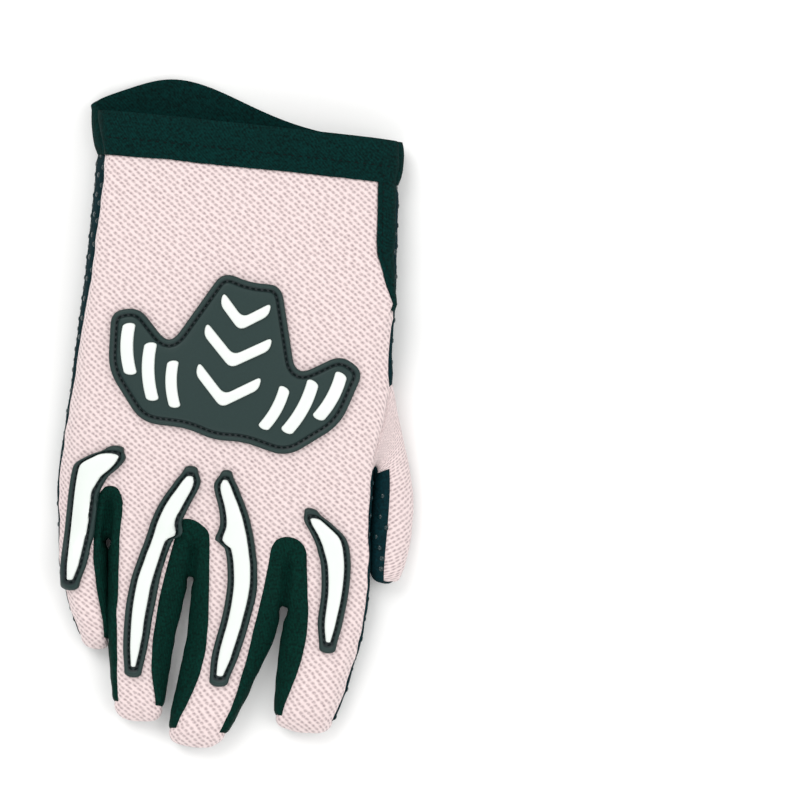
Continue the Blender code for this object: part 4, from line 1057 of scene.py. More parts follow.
# Outline of each finger guard. along is a share of its length; left and right are its edges as shares of
# the guard width. Two of them have a barb, a short step in one edge.
GuardRow = namedtuple("GuardRow", "along left right")
Guard = namedtuple("Guard", "finger across reach rows")
GUARDS = [
    Guard("little", 0.06, 0.643, [
        GuardRow(0.00, 0.55, 1.20), GuardRow(0.05, 0.05, 1.30), GuardRow(0.12, -0.45, 1.10),
        GuardRow(0.20, -0.56, 0.72), GuardRow(0.32, -0.60, 0.46), GuardRow(0.55, -0.62, 0.40),
        GuardRow(0.85, -0.61, 0.23), GuardRow(1.00, -0.53, 0.06),
    ]),
    Guard("ring", 0.0, 0.419, [
        GuardRow(0.00, 1.02, 1.52), GuardRow(0.06, 0.74, 1.66), GuardRow(0.16, 0.32, 1.38),
        GuardRow(0.25, 0.06, 1.13), GuardRow(0.315, -0.05, 1.17), GuardRow(0.340, -0.10, 0.87),
        GuardRow(0.42, -0.26, 0.70), GuardRow(0.55, -0.48, 0.50), GuardRow(0.70, -0.56, 0.38),
        GuardRow(0.88, -0.51, 0.30), GuardRow(1.00, -0.39, 0.21),
    ]),
    Guard("middle", 0.0, 0.549, [
        GuardRow(0.00, -0.95, -0.55), GuardRow(0.06, -1.17, -0.30), GuardRow(0.17, -0.92, 0.10),
        GuardRow(0.25, -0.82, 0.33), GuardRow(0.325, -0.92, 0.49), GuardRow(0.350, -0.60, 0.54),
        GuardRow(0.42, -0.44, 0.65), GuardRow(0.54, -0.34, 0.71), GuardRow(0.70, -0.42, 0.56),
        GuardRow(0.88, -0.62, 0.28), GuardRow(1.00, -0.63, 0.03),
    ]),
    Guard("index", 0.0, 0.658, [
        GuardRow(0.00, -1.10, -0.60), GuardRow(0.07, -1.08, -0.12), GuardRow(0.16, -0.80, 0.42),
        GuardRow(0.24, -0.58, 0.62), GuardRow(0.38, -0.34, 0.74), GuardRow(0.58, -0.22, 0.75),
        GuardRow(0.82, -0.22, 0.64), GuardRow(1.00, -0.08, 0.50),
    ]),
]
GUARD_STATIONS = 56
GUARD_END = 1.15  # how much wider a guard's margins are at its ends than at its sides
END_BULGE = 0.55  # how round the ends are: 1 is a half circle
FACE_LEAST = 0.0007  # a guard's white face is nowhere narrower

# Moulded profiles: how far in from the outline, and how high over the cloth
ProfileRow = namedtuple("ProfileRow", "rim height")
GUARD_PROFILE = [
    ProfileRow(0.0000, -0.0006), ProfileRow(0.0000, 0.0010), ProfileRow(0.00018, 0.0015),
    ProfileRow(0.00055, 0.0018), ProfileRow(0.00095, 0.0017), ProfileRow(0.00120, 0.0013),
    ProfileRow(0.00165, 0.0012), ProfileRow(0.00195, 0.0014),
]
FACE_PROFILE = [
    ProfileRow(0.00200, 0.0010), ProfileRow(0.00200, 0.0018), ProfileRow(0.00222, 0.0021),
    ProfileRow(0.00260, 0.0022),
]
PLATE_PROFILE = [
    ProfileRow(0.0000, -0.0006), ProfileRow(0.0000, 0.0010), ProfileRow(0.00022, 0.0015),
    ProfileRow(0.00070, 0.0018), ProfileRow(0.00120, 0.0017), ProfileRow(0.00150, 0.0013),
    ProfileRow(0.00215, 0.0012), ProfileRow(0.00245, 0.0015), ProfileRow(0.0029, 0.0016),
]
RELIEF_PROFILE = [
    ProfileRow(0.0000, 0.0008), ProfileRow(0.0000, 0.0021), ProfileRow(0.00013, 0.0024),
    ProfileRow(0.00036, 0.0025),
]
# The rubber's material gives the rings of the stitched groove a darker painted shade
GUARD_GROOVE, PLATE_GROOVE = (5, 6, 7), (5, 6)  # which rings of the two profiles are the stitched groove
CHEVRON_CORNER = 0.0021
PLATE_STEP, CHEVRON_STEP = 0.0009, 0.0006  # distance between the points of an outline
GUARD_STITCH_RIM, PLATE_STITCH_RIM = 0.00150, 0.00185  # how far in the stitches lie
GROOVE_HEIGHT = 0.0013
FACE_CROWN, CROWN_REACH = 0.0004, 0.0012  # how far a white face swells, and how near its edge it does
MOULD_GRID, FACE_GRID = 0.0014, 0.0012  # distance between the points inside a moulded piece
GRID_ROW = 0.87  # distance between their rows, as a share of that
GRID_MARGIN = 0.45  # how far they keep from the outline, as a share of it
MERGE = 1e-7  # points nearer than this are one

# Half outline of the knuckle plate, from the middle of its crest round its thumb-side wing to its foot, as
# shares of half its width and half its height
PLATE_POINTS = [(0.0, 0.90), (0.23, 0.96), (0.50, -0.02), (0.80, 0.34), (1.0, 0.22), (0.92, -0.44),
                (0.58, -0.94), (0.22, -0.88), (0.0, -0.94)]
PLATE_CORNER = 0.0050
PLATE_PLACE = (0.011, 0.519)  # across as a share of the knuckle width, along as a share of the palm length
PLATE_TILT = math.radians(-7.5)
Bar = namedtuple("Bar", "name across_1 up_1 across_2 up_2 half")
BARS = [
    Bar("outer_bar", 0.835, 0.10, 0.745, -0.40, 0.024),
    Bar("middle_bar", 0.640, -0.06, 0.535, -0.63, 0.024),
    Bar("inner_bar", 0.440, -0.20, 0.355, -0.65, 0.022),
]
BAR_BOW = 0.06  # how far a bar bows outwards, as a share of its length
BAR_STATIONS = 14
Chevron = namedtuple("Chevron", "name point rise reach half")
CHEVRONS = [
    Chevron("upper_chevron", 0.34, 0.24, 0.19, 0.026),
    Chevron("middle_chevron", -0.10, 0.30, 0.26, 0.026),
    Chevron("lower_chevron", -0.56, 0.30, 0.25, 0.026),
]


def guard_outline(guard, rim, shift):
    """The outline of a finger guard, drawn in by a margin that its narrow ends allow."""
    i = FINGER_NAMES.index(guard.finger)
    start, end = WEBS[i], WEBS[i + 1]
    wide = rubber().guard_width
    long = getattr(rubber(), guard.finger + "_guard")
    x = (start.across + end.across) / 2 * sizes().knuckle_width + guard.across * wide + shift.x
    y = -(start.along + end.along) / 2 * sizes().palm_length + guard.reach * long + shift.y
    ends = rim * GUARD_END / long
    left, right = [], []
    for k in range(GUARD_STATIONS + 1):
        share = lerp(ends, 1.0 - ends, k / GUARD_STATIONS)
        a = smooth_value(guard.rows, 1, share) * wide + rim
        b = smooth_value(guard.rows, 2, share) * wide - rim
        if b - a < FACE_LEAST:
            middle = (a + b) / 2
            a, b = middle - FACE_LEAST / 2, middle + FACE_LEAST / 2
        left.append(Vector((x + a, y - share * long)))
        right.append(Vector((x + b, y - share * long)))
    return round_ends(left, right)


def plate_point(across, up, shift):
    """A point of the knuckle plate, from shares of its half width and half height to the glove."""
    x, y = across * rubber().plate_width / 2, up * rubber().plate_height / 2
    cosine, sine = math.cos(PLATE_TILT), math.sin(PLATE_TILT)
    place = Vector((PLATE_PLACE[0] * sizes().knuckle_width, -PLATE_PLACE[1] * sizes().palm_length))
    return place + shift.xy + Vector((x * cosine - y * sine, x * sine + y * cosine))


def plate_outline(shift):
    """The whole outline of the knuckle plate, with its corners rounded."""
    other = [(-across, up) for across, up in reversed(PLATE_POINTS[1:-1])]
    corners = [plate_point(*point, shift) for point in PLATE_POINTS + other]
    return resampled(rounded(corners, PLATE_CORNER), PLATE_STEP)


def bar_outline(bar, side, shift):
    """The outline of one white bar of the plate: slightly bowed, with round ends."""
    start = plate_point(side * bar.across_1, bar.up_1, shift)
    end = plate_point(side * bar.across_2, bar.up_2, shift)
    along = end - start
    out = Vector((along.y, -along.x)) * -side
    half = out.normalized() * bar.half * rubber().plate_width
    left, right = [], []
    for k in range(BAR_STATIONS + 1):
        share = k / BAR_STATIONS
        centre = lerp(start, end, share) + out * BAR_BOW * 4 * share * (1.0 - share)
        left.append(centre + half * side)
        right.append(centre - half * side)
    return round_ends(left, right)


def chevron_outline(chevron, shift):
    """The outline of one white chevron, pointing at the fingers."""
    wide = chevron.half * rubber().plate_width / (rubber().plate_height / 2) * 2
    top, reach = chevron.point + chevron.rise, chevron.reach
    corners = [(0.0, chevron.point), (reach, top), (reach, top + wide), (0.0, chevron.point + wide)]
    corners += [(-reach, top + wide), (-reach, top)]
    places = [plate_point(*corner, shift) for corner in corners]
    return resampled(rounded(places, CHEVRON_CORNER), CHEVRON_STEP)


# Laying rubber on the cloth

DRAPE_REACH = 0.0016  # how far round a point the cloth is felt
DRAPE_HEIGHT = 0.6  # from how high over it, as a share of that
DRAPE_SIDES = [(0, 0), (1, 0), (-1, 0), (0, 1), (0, -1), (1, 1), (-1, -1), (1, -1), (-1, 1)]
ABOVE_ALL = 1.0  # a height over the whole glove


def cloth_surface():
    """The joined surface of the finished cloth pieces, to lay things on."""
    corners, faces = [], []
    for name in CLOTH_PIECES.values():
        mesh = bpy.data.objects[name].data
        base = len(corners)
        corners += [v.co.copy() for v in mesh.vertices]
        faces += [[base + k for k in face.vertices] for face in mesh.polygons]
    return BVHTree.FromPolygons(corners, faces)


def shift_now():
    """How far the finished skin was moved from its cage to its solids."""
    return Vector(bpy.context.scene["glove_shift"])


def lay(tree, point, height):
    """A place over the cloth, and the direction that the cloth faces there."""
    down = Vector((0.0, 0.0, -1.0))
    place = tree.ray_cast(Vector((point.x, point.y, ABOVE_ALL)), down)[0]
    if place is None:
        place = tree.find_nearest(Vector((point.x, point.y, sizes().finger_height / 2)))[0]
    up = Vector()
    for across, along in DRAPE_SIDES:
        up += tree.find_nearest(place + Vector((across, along, DRAPE_HEIGHT)) * DRAPE_REACH)[1]
    up.normalize()
    return place + up * height, up


def within(point, outline, margin):
    """How far inside a closed outline a point lies, or None if it is nearer than margin or outside."""
    odd, nearest = False, 1.0
    for a, b in zip(outline, outline[1:] + outline[:1]):
        if (a.y > point.y) != (b.y > point.y):
            if point.x < a.x + (point.y - a.y) / (b.y - a.y) * (b.x - a.x):
                odd = not odd
        side = b - a
        share = max(0.0, min(1.0, (point - a).dot(side) / (side.length_squared or 1.0)))
        nearest = min(nearest, (point - a - side * share).length)
    return nearest if odd and nearest >= margin else None


def filled(outline, spacing):
    """A closed outline filled with triangles: its points, their depth from the edge, and the corners."""
    low = Vector((min(p.x for p in outline), min(p.y for p in outline)))
    high = Vector((max(p.x for p in outline), max(p.y for p in outline)))
    inside, depths = [], [0.0] * len(outline)
    columns = int((high.x - low.x) / spacing) + 1
    rows = int((high.y - low.y) / (spacing * GRID_ROW)) + 1
    for k in range(rows + 1):
        for i in range(columns + 1):
            x = low.x + (i + 0.5 * (k % 2)) * spacing
            point = Vector((x, low.y + k * spacing * GRID_ROW))
            depth = within(point, outline, spacing * GRID_MARGIN)
            if depth is not None:
                inside.append(point)
                depths.append(depth)
    count = len(outline)
    edges = [(k, (k + 1) % count) for k in range(count)]
    points, _, faces = delaunay_2d_cdt(outline + inside, edges, [], 1, MERGE)[:3]
    if len(points) != len(depths):
        raise RuntimeError("an outline crosses itself")
    return points, depths, faces


def moulded(name, rings, tree, crown_height=0.0, spacing=MOULD_GRID, groove=()):
    """A moulded piece: rings of one outline, each at its height over the cloth, closed above and below.

    The rings of its stitched groove, where it has one, are marked for the material, which gives them a
    darker painted shade.
    """
    bm = bmesh.new()
    groove_shade_mask = bm.verts.layers.float.new("groove")
    made = []
    for outline, height in rings:
        ring = [bm.verts.new(lay(tree, point, height)[0]) for point in outline]
        for vert in ring:
            vert[groove_shade_mask] = float(len(made) in groove)
        made.append(ring)
    for lower, upper in zip(made, made[1:]):
        for k in range(len(lower)):
            after = (k + 1) % len(lower)
            bm.faces.new([lower[k], lower[after], upper[after], upper[k]])
    for (outline, height), ring, flip in ((rings[-1], made[-1], False), (rings[0], made[0], True)):
        points, depths, faces = filled(outline, spacing)
        verts = list(ring)
        for point, depth in zip(points[len(ring):], depths[len(ring):]):
            swell = 0.0 if flip else crown_height * (1.0 - math.exp(-depth / CROWN_REACH))
            verts.append(bm.verts.new(lay(tree, point, height + swell)[0]))
        for corners in faces:
            bm.faces.new([verts[k] for k in (reversed(corners) if flip else corners)])
    bmesh.ops.recalc_face_normals(bm, faces=bm.faces)
    mesh = bpy.data.meshes.new(name)
    bm.to_mesh(mesh)
    bm.free()
    return new_piece(name, mesh)


class GLOVE_OT_mould_plate(bpy.types.Operator):
    """Moulds the knuckle plate and its white chevrons and bars"""

    bl_idname = "glove.mould_plate"
    bl_label = "Mould the knuckle plate"

    def execute(self, context):
        tree, shift = cloth_surface(), shift_now()
        charcoal, white = moulded_rubber(), white_rubber()
        outline = plate_outline(shift)
        rings = [(inset(outline, row.rim), row.height) for row in PLATE_PROFILE]
        plate = moulded("rubber_plate", rings, tree, groove=PLATE_GROOVE)
        finish_piece(plate, charcoal, "charcoal_rubber", ["knuckle_plate"])
        reliefs = [(chevron.name, chevron_outline(chevron, shift)) for chevron in CHEVRONS]
        for bar in BARS:
            reliefs.append((bar.name + "_little_side", bar_outline(bar, -1, shift)))
            reliefs.append((bar.name + "_thumb_side", bar_outline(bar, 1, shift)))
        for name, relief in reliefs:
            rings = [(inset(relief, row.rim), row.height) for row in RELIEF_PROFILE]
            piece = moulded("white_" + name, rings, tree, FACE_CROWN, FACE_GRID)
            finish_piece(piece, white, "white_rubber", [name])
        return {"FINISHED"}


class GLOVE_OT_mould_guards(bpy.types.Operator):
    """Moulds the finger guards and their white faces"""

    bl_idname = "glove.mould_guards"
    bl_label = "Mould the finger guards"

    def execute(self, context):
        tree, shift = cloth_surface(), shift_now()
        charcoal, white = moulded_rubber(), white_rubber()
        for guard in GUARDS:
            rings = [(guard_outline(guard, row.rim, shift), row.height) for row in GUARD_PROFILE]
            base = moulded(f"rubber_{guard.finger}_guard", rings, tree, groove=GUARD_GROOVE)
            finish_piece(base, charcoal, "charcoal_rubber", [f"{guard.finger}_guard"])
            rings = [(guard_outline(guard, row.rim, shift), row.height) for row in FACE_PROFILE]
            face = moulded(f"white_{guard.finger}_guard_face", rings, tree, FACE_CROWN, FACE_GRID)
            finish_piece(face, white, "white_rubber", [f"{guard.finger}_guard_face"])
        return {"FINISHED"}


# Stitches and dots

STITCH_LENGTH, STITCH_WIDTH, STITCH_HEIGHT = 0.00125, 0.00046, 0.00036
CUFF_STITCH_PITCH = 0.0023
CUFF_STITCH_HEIGHT = STITCH_HEIGHT * 0.1  # the middle of a stitch over the tape that it is pulled into
BAND_STITCH_INSET = 0.0019  # the cuff's stitches lie this far from the band's lower edge
BAND_STITCH_ENDS = (0.005, 0.003)  # and begin and end this far from the band's two sides
SLIT_STITCH_INSET = 0.0016
SLIT_STITCH_START, SLIT_STITCH_STOP = 0.001, 0.6  # below the band, and as a share of the narrow part

DOT_RISE = 0.40  # height of a dot's whole form, as a share of its width
DOT_TURN = Vector((1.0, 0.3, 0.2))  # which way the dots are turned; none of them faces this way
LEAST_FACE, LEAST_SPREAD = 2e-8, 1e-10  # areas of the faces that are too small to hold a dot's middle
OPEN_AIR = 0.05  # a face that sees nothing of the glove within this distance is on its outer side
OFF_FACE = 0.0001  # where a face looks from, over itself


def small_form(name, segments, rings, across, along, high):
    """One small rounded form, modelled once: a sphere pressed to its size."""
    deselect()
    bpy.ops.mesh.primitive_uv_sphere_add(segments=segments, ring_count=rings, radius=0.5)
    form = bpy.context.object
    form.name = name
    bpy.ops.object.mode_set(mode="EDIT")
    bpy.ops.transform.resize(value=(along, across, high))
    bpy.ops.object.mode_set(mode="OBJECT")
    mesh = form.data
    bpy.data.objects.remove(form)
    return mesh


def sown(name, form, places):
    """Copies of one small form at many places, joined into one piece."""
    count = len(form.vertices)
    flat = np.empty(count * 3)
    form.vertices.foreach_get("co", flat)
    corners = np.c_[flat.reshape(-1, 3), np.ones(count)]
    matrices = np.array([[list(row) for row in place] for place in places])
    verts = np.einsum("nij,kj->nki", matrices, corners)[..., :3].reshape(-1, 3)
    faces = [list(face.vertices) for face in form.polygons]
    all_faces = [[k * count + c for c in face] for k in range(len(places)) for face in faces]
    mesh = bpy.data.meshes.new(name)
    mesh.from_pydata(verts.tolist(), [], all_faces)
    mesh.update()
    return new_piece(name, mesh)


def upright(place, along, up):
    """A placement with X along a direction and Z away from the cloth."""
    side = up.cross(along).normalized()
    along = side.cross(up).normalized()
    turn = Matrix((along, side, up)).transposed().to_4x4()
    return Matrix.Translation(place) @ turn


def stations(start, end, pitch):
    """Even steps from start to end, about a pitch apart."""
    count = round((end - start) / pitch)
    return [lerp(start, end, k / count) for k in range(count + 1)]


def stitch_places(tree, points, height, closed=True):
    """A placement for each stitch of a line over the cloth."""
    places = []
    count = len(points)
    for k, point in enumerate(points):
        before = points[k - 1] if closed or k else points[0]
        after = points[(k + 1) % count] if closed or k < count - 1 else points[-1]
        place, up = lay(tree, point, height)
        along = Vector((after.x - before.x, after.y - before.y, 0.0)).normalized()
        places.append(upright(place, along, up))
    return places


class GLOVE_OT_stitch(bpy.types.Operator):
    """Sews the black thread round the rubber, along the cuff band and down the slit's binding"""

    bl_idname = "glove.stitch"
    bl_label = "Stitch"

    def execute(self, context):
        shift = shift_now()
        pitch = rubber().stitch_pitch
        under = cloth_surface()
        stitch = small_form("stitch", 8, 6, STITCH_WIDTH, STITCH_LENGTH, STITCH_HEIGHT)
        thread = polyester_thread()
        plate = resampled(inset(plate_outline(shift), PLATE_STITCH_RIM), pitch)
        rubber_places = stitch_places(under, plate, GROOVE_HEIGHT)
        for guard in GUARDS:
            line = resampled(guard_outline(guard, GUARD_STITCH_RIM, shift), pitch)
            rubber_places += stitch_places(under, line, GROOVE_HEIGHT)
        finish_piece(sown("thread_rubber", stitch, rubber_places), thread, "black_binding")
        band_places = self.band_line(under, shift) + self.slit_line(under, shift)
        finish_piece(sown("thread_cuff", stitch, band_places), thread, "black_binding")
        return {"FINISHED"}

    def band_line(self, tree, shift):
        """Stitches across the back of the cuff band."""
        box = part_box("cuff_back")
        y = shift.y - cuff().band + BAND_STITCH_INSET
        low, high = box[0][0] + BAND_STITCH_ENDS[0], box[1][0] - BAND_STITCH_ENDS[1]
        line = [Vector((x, y)) for x in stations(low, high, CUFF_STITCH_PITCH)]
        return stitch_places(tree, line, CUFF_STITCH_HEIGHT, closed=False)

    def slit_line(self, tree, shift):
        """Stitches down the middle of the slit's binding."""
        start = cuff().band + SLIT_STITCH_START
        end = cuff().slit * lerp(SLIT_TURN, 1.0, SLIT_STITCH_STOP)
        line = []
        for down in stations(start, end, CUFF_STITCH_PITCH):
            width = cuff().binding * (1.0 - slit_narrowing(down))
            line.append(Vector((thumb_edge(down) - width + SLIT_STITCH_INSET, -down)) + shift.xy)
        return stitch_places(tree, line, CUFF_STITCH_HEIGHT, closed=False)


class GLOVE_OT_print_dots(bpy.types.Operator):
    """Sets the silicone grip dots on the palm's leather"""

    bl_idname = "glove.print_dots"
    bl_label = "Set the grip dots"

    def execute(self, context):
        size = cloth().dot_size
        dot = small_form("dot", 10, 8, size, size, size * DOT_RISE)
        mesh = bpy.data.objects["leather_palm"].data
        places = [upright(place, DOT_TURN, up) for place, up in dot_places(mesh)]
        finish_piece(sown("silicone_dots", dot, places), silicone(), "black_leather")
        return {"FINISHED"}


def dot_places(mesh):
    """Where the dots sit: a staggered grid in the leather's own flat coordinates, outer side only."""
    across, along = cloth().dot_across, cloth().dot_along / 2
    flat = mesh.uv_layers["cloth"].data
    outside = outer_side(mesh)
    for face in mesh.polygons:
        if len(face.vertices) != 4 or face.area < LEAST_FACE or not outside(face):
            continue
        uvs = [flat[k].uv for k in face.loop_indices]
        side_u, side_v = uvs[1] - uvs[0], uvs[3] - uvs[0]
        spread = side_u.cross(side_v)
        if abs(spread) < LEAST_SPREAD:
            continue
        row = round((uvs[0].y + uvs[2].y) / 2 / along)
        shift = 0.5 * (row % 2)
        column = round((uvs[0].x + uvs[2].x) / 2 / across - shift)
        off = Vector(((column + shift) * across, row * along)) - uvs[0]
        a, b = off.cross(side_v) / spread, side_u.cross(off) / spread
        if 0 <= a < 1 and 0 <= b < 1:
            corners = [mesh.vertices[k].co for k in face.vertices]
            yield corners[0] + (corners[1] - corners[0]) * a + (corners[3] - corners[0]) * b, face.normal


def outer_side(mesh):
    """A test for faces on the outer side of the palm's wall: away from what the glove encloses."""
    tree = cloth_surface()

    def outside(face):
        start = face.center + face.normal * OFF_FACE
        return tree.ray_cast(start, face.normal, OPEN_AIR)[0] is None

    return outside


# Materials


def add(tree, kind, inputs=None, **settings):
    """Adds a node, with its settings, and its inputs as values or links."""
    node = tree.nodes.new(kind)
    for key, value in settings.items():
        setattr(node, key, value)
    for key, value in (inputs or {}).items():
        if isinstance(value, bpy.types.NodeSocket):
            tree.links.new(value, node.inputs[key])
        else:
            node.inputs[key].default_value = value
    return node


def new_material(name, roughness, **sockets):
    """A material with one Principled shader, and the constants that belong on its own sockets."""
    made = bpy.data.materials.new(name)
    made.use_nodes = True
    shader = made.node_tree.nodes["Principled BSDF"]
    shader.inputs["Roughness"].default_value = roughness
    for key, value in sockets.items():
        shader.inputs[key.replace("_", " ")].default_value = value
    return made, made.node_tree, shader


def surface(tree, shader, colour, height=None, strength=0.0, depth=0.0):
    """Gives a material its colour, and a relief where it has one."""
    tree.links.new(colour.outputs["Color"], shader.inputs["Base Color"])
    if height is not None:
        relief = add(tree, "ShaderNodeBump", {"Height": height, "Strength": strength, "Distance": depth})
        tree.links.new(relief.outputs["Normal"], shader.inputs["Normal"])


def at_size(tree, size, detail, scale=1.0):
    """The inputs of a pattern on Object coordinates, measured in units of a real size."""
    coords = add(tree, "ShaderNodeTexCoord")
    scaled = {"Vector": coords.outputs["Object"], "Scale": [1.0 / size] * 3}
    mapping = add(tree, "ShaderNodeMapping", scaled)
    return {"Vector": mapping.outputs["Vector"], "Scale": scale, "Detail": detail}


def rgba(value, share=1.0):
    """A shade of a colour, with full alpha."""
    return (*(part * share for part in value), 1.0)


def shades(value, first, second):
    """The two shades of a colour that a pattern mixes."""
    return {"Color1": rgba(value, first), "Color2": rgba(value, second)}


# Real sizes of the patterns. Fibres, grains, ribs and twists are drawn as coarse as they need to be to show.
NAP = 0.0007
SUEDE_GRAIN = 0.0006
JERSEY_RIB = 0.0007
TAPE_TWILL = 0.0008
MOULD_GRAIN = 0.0004
THREAD_TWIST = 0.0003
SILICONE_CLOUD = 0.0012
SMUDGE = 0.006
SHEET_MOTTLE = 0.2
PORE_SLANT = (0.78, 1.22)  # a pore's narrowness down the slant of the knit and across it
NAP_SHARE = 0.65  # how much of a dark cloth's tone its loose fibres give


def pore_mask(tree, grid):
    """The knit's pores on a grid of their own: 1 in the middle of a pore and 0 on the yarn."""
    waver = add(tree, "ShaderNodeTexNoise", {"Vector": grid, "Scale": 0.6, "Detail": 1.0})
    bent = add(
        tree, "ShaderNodeMixRGB",
        {"Fac": 0.25, "Color1": grid, "Color2": waver.outputs["Color"]},
        blend_type="ADD",
    )
    pores = add(
        tree, "ShaderNodeTexVoronoi",
        {"Vector": bent.outputs["Color"], "Scale": 1.0, "Randomness": 0.28},
        voronoi_dimensions="2D",
    )
    # Each pore is longer down the slant of the knit than across it
    middle = {0: bent.outputs["Color"], 1: pores.outputs["Position"]}
    away = add(tree, "ShaderNodeVectorMath", middle, operation="SUBTRACT")
    slanted = {0: away.outputs["Vector"], 1: (*PORE_SLANT, 0.0)}
    drawn = add(tree, "ShaderNodeVectorMath", slanted, operation="MULTIPLY")
    distance = add(tree, "ShaderNodeVectorMath", {0: drawn.outputs["Vector"]}, operation="LENGTH")
    span = {"From Min": 0.04, "From Max": 0.58, "To Min": 1.0, "To Max": 0.0}
    mask = add(
        tree, "ShaderNodeMapRange",
        {"Value": distance.outputs["Value"], **span},
        interpolation_type="SMOOTHSTEP",
    )
    return mask.outputs["Result"]


def knitted_air_mesh():
    """Knitted polyester air mesh: soft matte yarn with a staggered grid of small open pores, painted dark as
    shade.
    """
    sheen = {"Sheen_Weight": 0.25, "Sheen_Roughness": 0.6}
    made, tree, shader = new_material("knitted polyester air mesh", roughness=0.92, **sheen)
    tones = cloth()
    flat = add(tree, "ShaderNodeUVMap", uv_map="cloth")
    # Turned by an eighth, a square grid is a staggered one
    scale = [math.sqrt(2.0) / pitch for pitch in (tones.knit_across, tones.knit_along)]
    turned = {"Vector": flat.outputs["UV"], "Scale": (*scale, 1.0), "Rotation": (0.0, 0.0, math.pi / 4)}
    grid = add(tree, "ShaderNodeMapping", turned).outputs["Vector"]
    mask = pore_mask(tree, grid)
    fibres = add(tree, "ShaderNodeTexNoise", {"Vector": grid, "Scale": 2.6, "Detail": 3.0}).outputs["Fac"]
    strands = {"Fac": fibres, "Color1": rgba(tones.knit), "Color2": rgba(tones.knit_shade)}
    yarn = add(tree, "ShaderNodeMixRGB", strands)
    # Fibres that cross a pore make it lighter, so no two pores are alike
    span = {"From Min": 0.35, "From Max": 0.65, "To Min": 0.55, "To Max": 1.0}
    crossed = add(tree, "ShaderNodeMapRange", {"Value": fibres, **span})
    # The pores are painted dark: painted shade for the shaded inside of the glove that shows through them
    depth = add(tree, "ShaderNodeMath", {0: mask, 1: crossed.outputs["Result"]}, operation="MULTIPLY")
    pore_shade_mix = {"Fac": depth.outputs[0], "Color1": yarn.outputs["Color"], "Color2": rgba(tones.pore)}
    knit_with_pore_shade = add(tree, "ShaderNodeMixRGB", pore_shade_mix)
    fuzz = add(tree, "ShaderNodeTexNoise", {"Vector": grid, "Scale": 5.0, "Detail": 2.0})
    fluff = add(tree, "ShaderNodeMath", {0: fuzz.outputs["Fac"], 1: 0.35}, operation="MULTIPLY")
    raised = add(tree, "ShaderNodeMath", {0: fluff.outputs[0], 1: mask}, operation="SUBTRACT")
    surface(tree, shader, knit_with_pore_shade, raised.outputs[0], strength=0.7, depth=0.00018)
    return made


def napped(tree, pattern, tone, low, high):
    """A dark cloth's colour by its pattern, broken up by the loose fibres that catch the light on it."""
    fibres = add(tree, "ShaderNodeTexNoise", at_size(tree, NAP, detail=3.0))
    lit = {"Value": fibres.outputs["Fac"], "From Min": 0.3, "From Max": 0.7}
    caught = add(tree, "ShaderNodeMapRange", lit)
    both = {"Fac": NAP_SHARE, "Color1": pattern, "Color2": caught.outputs["Result"]}
    blend = add(tree, "ShaderNodeMixRGB", both)
    return add(tree, "ShaderNodeMixRGB", {"Fac": blend.outputs["Color"], **shades(tone, low, high)})


def synthetic_suede():
    """Synthetic suede: a matte nap with a fine, irregular grain."""
    made, tree, shader = new_material("synthetic suede", roughness=0.85, Specular_IOR_Level=0.12)
    grain = add(tree, "ShaderNodeTexNoise", at_size(tree, SUEDE_GRAIN, detail=4.0)).outputs["Fac"]
    colour = napped(tree, grain, cloth().leather, low=0.4, high=2.2)
    surface(tree, shader, colour, grain, strength=0.5, depth=0.00012)
    return made


def stretch_jersey():
    """Stretch nylon jersey: fine ribs that run along the fingers, matte."""
    made, tree, shader = new_material("stretch nylon jersey", roughness=0.85, Specular_IOR_Level=0.1)
    rows = {**at_size(tree, JERSEY_RIB, detail=2.0, scale=0.5), "Distortion": 0.8}
    ribs = add(tree, "ShaderNodeTexWave", rows, bands_direction="X").outputs["Fac"]
    colour = napped(tree, ribs, cloth().stretch, low=0.2, high=2.0)
    surface(tree, shader, colour, ribs, strength=0.5, depth=0.00012)
    return made


def cotton_binding():
    """Woven binding tape: a tight twill, matte, folded over the edge."""
    made, tree, shader = new_material("woven binding tape", roughness=0.9, Specular_IOR_Level=0.1)
    weave = {**at_size(tree, TAPE_TWILL, detail=2.0, scale=0.5), "Distortion": 0.6}
    twill = add(tree, "ShaderNodeTexWave", weave, bands_direction="DIAGONAL").outputs["Fac"]
    cloudy = add(tree, "ShaderNodeTexNoise", {"Vector": weave["Vector"], "Scale": 0.08, "Detail": 3.0})
    both = {0: twill, 1: cloudy.outputs["Fac"]}
    worn = add(tree, "ShaderNodeMath", both, operation="MULTIPLY")
    colour = napped(tree, worn.outputs[0], cloth().binding, low=0.3, high=2.1)
    surface(tree, shader, colour, twill, strength=0.2, depth=0.00006)
    return made


def moulded_rubber():
    """Moulded rubber: satin, with a fine even grain from the mould."""
    made, tree, shader = new_material("moulded rubber", roughness=0.5, Specular_IOR_Level=0.35)
    grain = add(tree, "ShaderNodeTexNoise", at_size(tree, MOULD_GRAIN, detail=2.0)).outputs["Fac"]
    bead = add(tree, "ShaderNodeMixRGB", {"Fac": grain, **shades(rubber().charcoal, 0.85, 1.2)})
    # The groove inside the bead is painted darker: painted shade for the shade that falls in the recess
    groove_shade_mask = add(tree, "ShaderNodeAttribute", attribute_name="groove")
    both = {"Fac": groove_shade_mask.outputs["Fac"], "Color1": bead.outputs["Color"], "Color2": rgba(rubber().groove)}
    colour = add(tree, "ShaderNodeMixRGB", both)
    surface(tree, shader, colour, grain, strength=0.25, depth=0.00005)
    return made


